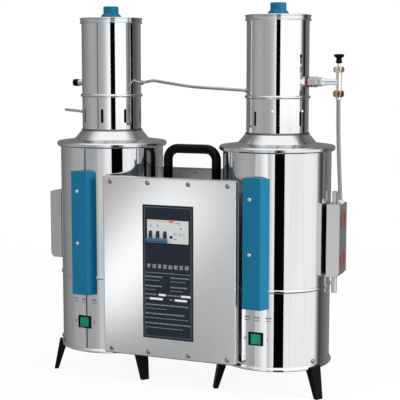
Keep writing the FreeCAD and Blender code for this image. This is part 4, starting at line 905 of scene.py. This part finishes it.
# printed marks, lines and weld beads: thin blocks grown from points
markTree, given = newTree("markSet", [("Finish", "NodeSocketMaterial")])
cube = addNode(markTree, "GeometryNodeMeshCube", inputs={"Size": (1, 1, 1)})
span, turned = [
    addNode(markTree, "GeometryNodeInputNamedAttribute", {"data_type": "FLOAT_VECTOR"}, {"Name": label})
    for label in ("span", "turned")]
aimed = addNode(markTree, "FunctionNodeEulerToRotation", inputs={"Euler": turned.outputs["Attribute"]})
finishTree(markTree, given, cube, Rotation=aimed.outputs[0], Scale=span.outputs["Attribute"])


# marks are (middle in metres, span in mm across, thick and tall, turn about Z, turn about the way out)
def addMarks(name, marks, finish):
    turns = [(Matrix.Rotation(about, 3, "Z") @ Matrix.Rotation(spin, 3, "Y")).to_euler()
             for _, _, about, spin in marks]
    base = pointMesh(name, [mark[0] for mark in marks],
                     {"span": [[size * mm for size in mark[1]] for mark in marks], "turned": turns})
    mesh = grownMesh(name, base, markTree, {"Finish": finish})
    linkPiece(name, mesh, "machine")


# weld beads up the sheets' joints: wall radius, low and high ends and width in mm, azimuths in degrees
welds = {
    "walls": [(106.0, 58.5, 470.5, 3.0), (60.8, 508.0, 571.0, 1.7), (60.8, 579.5, 720.5, 1.7)],
    "azimuths": {"left": (-3.7, 0.0, 0.0), "right": (176.0, 178.0, 178.0)},
    "thick": 0.5,
}
marks = []
for side, azimuths in welds["azimuths"].items():
    for azimuth, (radius, low, high, wide) in zip(azimuths, welds["walls"]):
        spot = onTower(side, radius, azimuth, (low + high) / 2)
        marks.append((spot, (wide, welds["thick"], high - low), radians(azimuth), 0.0))
addMarks("weldBeads", marks, weldFinish)

# short bars under each cover for the levels, and I and O beside each switch; lengths in mm
wallMarks = {
    "radius": 106.0, "thick": 0.2,
    "z": {"left": 161.3, "right": 156.4},
    "groups": {"left": (-22.5, -2.0, 21.5), "right": (-17.0, 4.0, 27.0)},
    "groupHalf": 4.5, "rows": ((2.9, 3.0), (-2.9, 1.8)), "bar": (1.2, 2.6), "gap": 0.9,
    "switchAzimuth": {"left": -6.4, "right": -2.0}, "switchReach": 23.0, "switchZ": 118.0,
    "stroke": (1.3, 6.4), "circle": {"radius": 2.6, "steps": 12, "dab": (1.5, 1.2)},
}
chance = random.Random(4)
perMm = 180 / pi / wallMarks["radius"]  # degrees of azimuth for each mm round the wall
marks = []


def addWallMark(side, azimuth, z, wide, tall, turn=0.0):
    marks.append((onTower(side, wallMarks["radius"], azimuth, z), (wide, wallMarks["thick"], tall),
                  radians(azimuth), turn))


for side in towerX:
    for group in wallMarks["groups"][side]:
        for row, tall in wallMarks["rows"]:
            at = group - wallMarks["groupHalf"]
            while at < group + wallMarks["groupHalf"]:
                wide = chance.uniform(*wallMarks["bar"])
                azimuth = coverAzimuth[side] + (at + wide / 2) * perMm
                addWallMark(side, azimuth, wallMarks["z"][side] + row, wide, tall)
                at += wide + wallMarks["gap"]
    middle, reach, circle = wallMarks["switchAzimuth"][side], wallMarks["switchReach"], wallMarks["circle"]
    addWallMark(side, middle + reach * perMm, wallMarks["switchZ"], *wallMarks["stroke"])
    for step in range(circle["steps"]):
        turn = 2 * pi * step / circle["steps"]
        addWallMark(side, middle - (reach - circle["radius"] * sin(turn)) * perMm,
                    wallMarks["switchZ"] + circle["radius"] * cos(turn), *circle["dab"], turn)
addMarks("wallMarks", marks, darkInk)


# a mark on a sheet that faces the front; all in mm, with its middle at (x, z)
def flatMark(x, z, face, wide, thick, tall):
    return Vector((x, face, z)) * mm, (wide, thick, tall), 0.0, 0.0


# data plate: a border line, rows of plain bars instead of words, and four blank fields; lengths in mm, and
# places on the plate as shares of its height from the top and of its width from the left
plate = {
    "front": -119.04, "halfWide": 53.7, "low": 103.0, "high": 367.5, "inset": 4.4, "line": 0.7, "proud": 0.16,
    # share down, height of the bars, then where the row starts and ends across
    "rows": [
        (0.505, 1.4, 0.06, 0.95), (0.535, 2.6, 0.05, 0.42), (0.535, 2.6, 0.55, 0.93),
        (0.563, 1.3, 0.05, 0.34), (0.563, 1.3, 0.55, 0.86), (0.605, 2.6, 0.05, 0.40),
        (0.605, 2.6, 0.55, 0.90), (0.632, 1.3, 0.05, 0.25), (0.632, 1.3, 0.55, 0.80),
        (0.668, 2.2, 0.05, 0.30), (0.668, 2.2, 0.48, 0.74), (0.700, 2.2, 0.05, 0.13),
        (0.700, 2.2, 0.52, 0.62), (0.745, 2.4, 0.05, 0.92), (0.775, 1.3, 0.05, 0.48),
        (0.812, 2.6, 0.05, 0.84), (0.845, 1.4, 0.05, 0.93), (0.885, 2.4, 0.05, 0.95),
        (0.918, 1.4, 0.05, 0.80)],
    "bar": (0.03, 0.085), "least": 0.02, "gap": 1.0,
    # the title's blocks: three strokes across and one down each
    "title": {"down": 0.455, "blocks": 8, "across": (0.07, 0.93), "step": 2.9, "wide": (6.4, 8.8),
              "stroke": 1.1, "tall": 7.6, "shift": 0.02},
    # share down, then where the field starts and ends across
    "fields": [(0.668, 0.32, 0.46), (0.700, 0.14, 0.40), (0.668, 0.76, 0.95), (0.700, 0.64, 0.88)],
    "fieldTall": 4.2, "fieldProud": 0.24,
}


def plateMark(down, across, rise, wide, tall, proud=plate["proud"]):
    height = plate["high"] - down * (plate["high"] - plate["low"]) + rise
    return flatMark(plate["halfWide"] * (2 * across - 1), height, plate["front"], wide, proud, tall)


wide = 2 * (plate["halfWide"] - plate["inset"])
tall = plate["high"] - plate["low"] - 2 * plate["inset"]
middle = (plate["high"] + plate["low"]) / 2
marks = [flatMark(x, middle, plate["front"], plate["line"], plate["proud"], tall)
         for x in (-wide / 2, wide / 2)]
marks += [flatMark(0, z, plate["front"], wide, plate["proud"], plate["line"])
          for z in (middle - tall / 2, middle + tall / 2)]
addMarks("plateBorder", marks, slateInk)

title, titles = plate["title"], []
start, end = title["across"]
for block in range(title["blocks"]):
    across = start + (end - start) * (block + 0.5) / title["blocks"]
    for step in (-1, 0, 1):
        wide = chance.uniform(*title["wide"])
        titles.append(plateMark(title["down"], across, step * title["step"], wide, title["stroke"]))
    titles.append(plateMark(title["down"], across + chance.uniform(-title["shift"], title["shift"]), 0,
                            title["stroke"], title["tall"]))
marks = []
for down, high, start, end in plate["rows"]:
    at = start
    while at < end - plate["least"]:
        wide = min(chance.uniform(*plate["bar"]), end - at)
        marks.append(plateMark(down, at + wide / 2, 0, wide * 2 * plate["halfWide"] - plate["gap"], high))
        at += wide
addMarks("plateLines", marks, dimInk)
addMarks("plateTitle", titles, paleInk)
marks = [plateMark(down, (start + end) / 2, 0, (end - start) * 2 * plate["halfWide"], plate["fieldTall"],
                   plate["fieldProud"]) for down, start, end in plate["fields"]]
addMarks("plateFields", marks, whiteInk)

# breaker's face: an orange flag, a thin red line and faint bars, as x, z, width and height in mm
breakerMarks = {
    "face": -118.74, "flagThick": 0.9, "printThick": 0.16,
    "flag": (8.0, 336.8, 9.0, 5.6),
    "line": (-18.5, 335.9, 45.0, 0.9),
    "bars": [
        (-35.5, 329.0, 4.0, 1.0), (-35.5, 326.0, 6.0, 0.7), (-21.5, 328.0, 3.6, 1.6),
        (-21.5, 324.6, 5.0, 0.7), (28.0, 323.0, 3.0, 3.0), (22.0, 333.5, 9.0, 1.0), (24.0, 330.5, 6.0, 0.8),
        (15.0, 313.5, 8.0, 1.0), (24.5, 313.0, 7.0, 1.0), (33.0, 312.0, 6.0, 1.0), (17.0, 309.5, 6.0, 0.8),
        (26.0, 309.0, 8.0, 0.8), (35.0, 306.0, 5.0, 0.8), (16.0, 302.0, 7.0, 1.2)],
}
for name, bars, thick, finish in (
        ("breakerFlag", [breakerMarks["flag"]], breakerMarks["flagThick"], orangePlastic),
        ("breakerLine", [breakerMarks["line"]], breakerMarks["printThick"], redInk),
        ("breakerPrint", breakerMarks["bars"], breakerMarks["printThick"], darkInk)):
    marks = [flatMark(x, z, breakerMarks["face"], wide, thick, tall) for x, z, wide, tall in bars]
    addMarks(name, marks, finish)
print("marks printed")

bpy.context.view_layer.update()
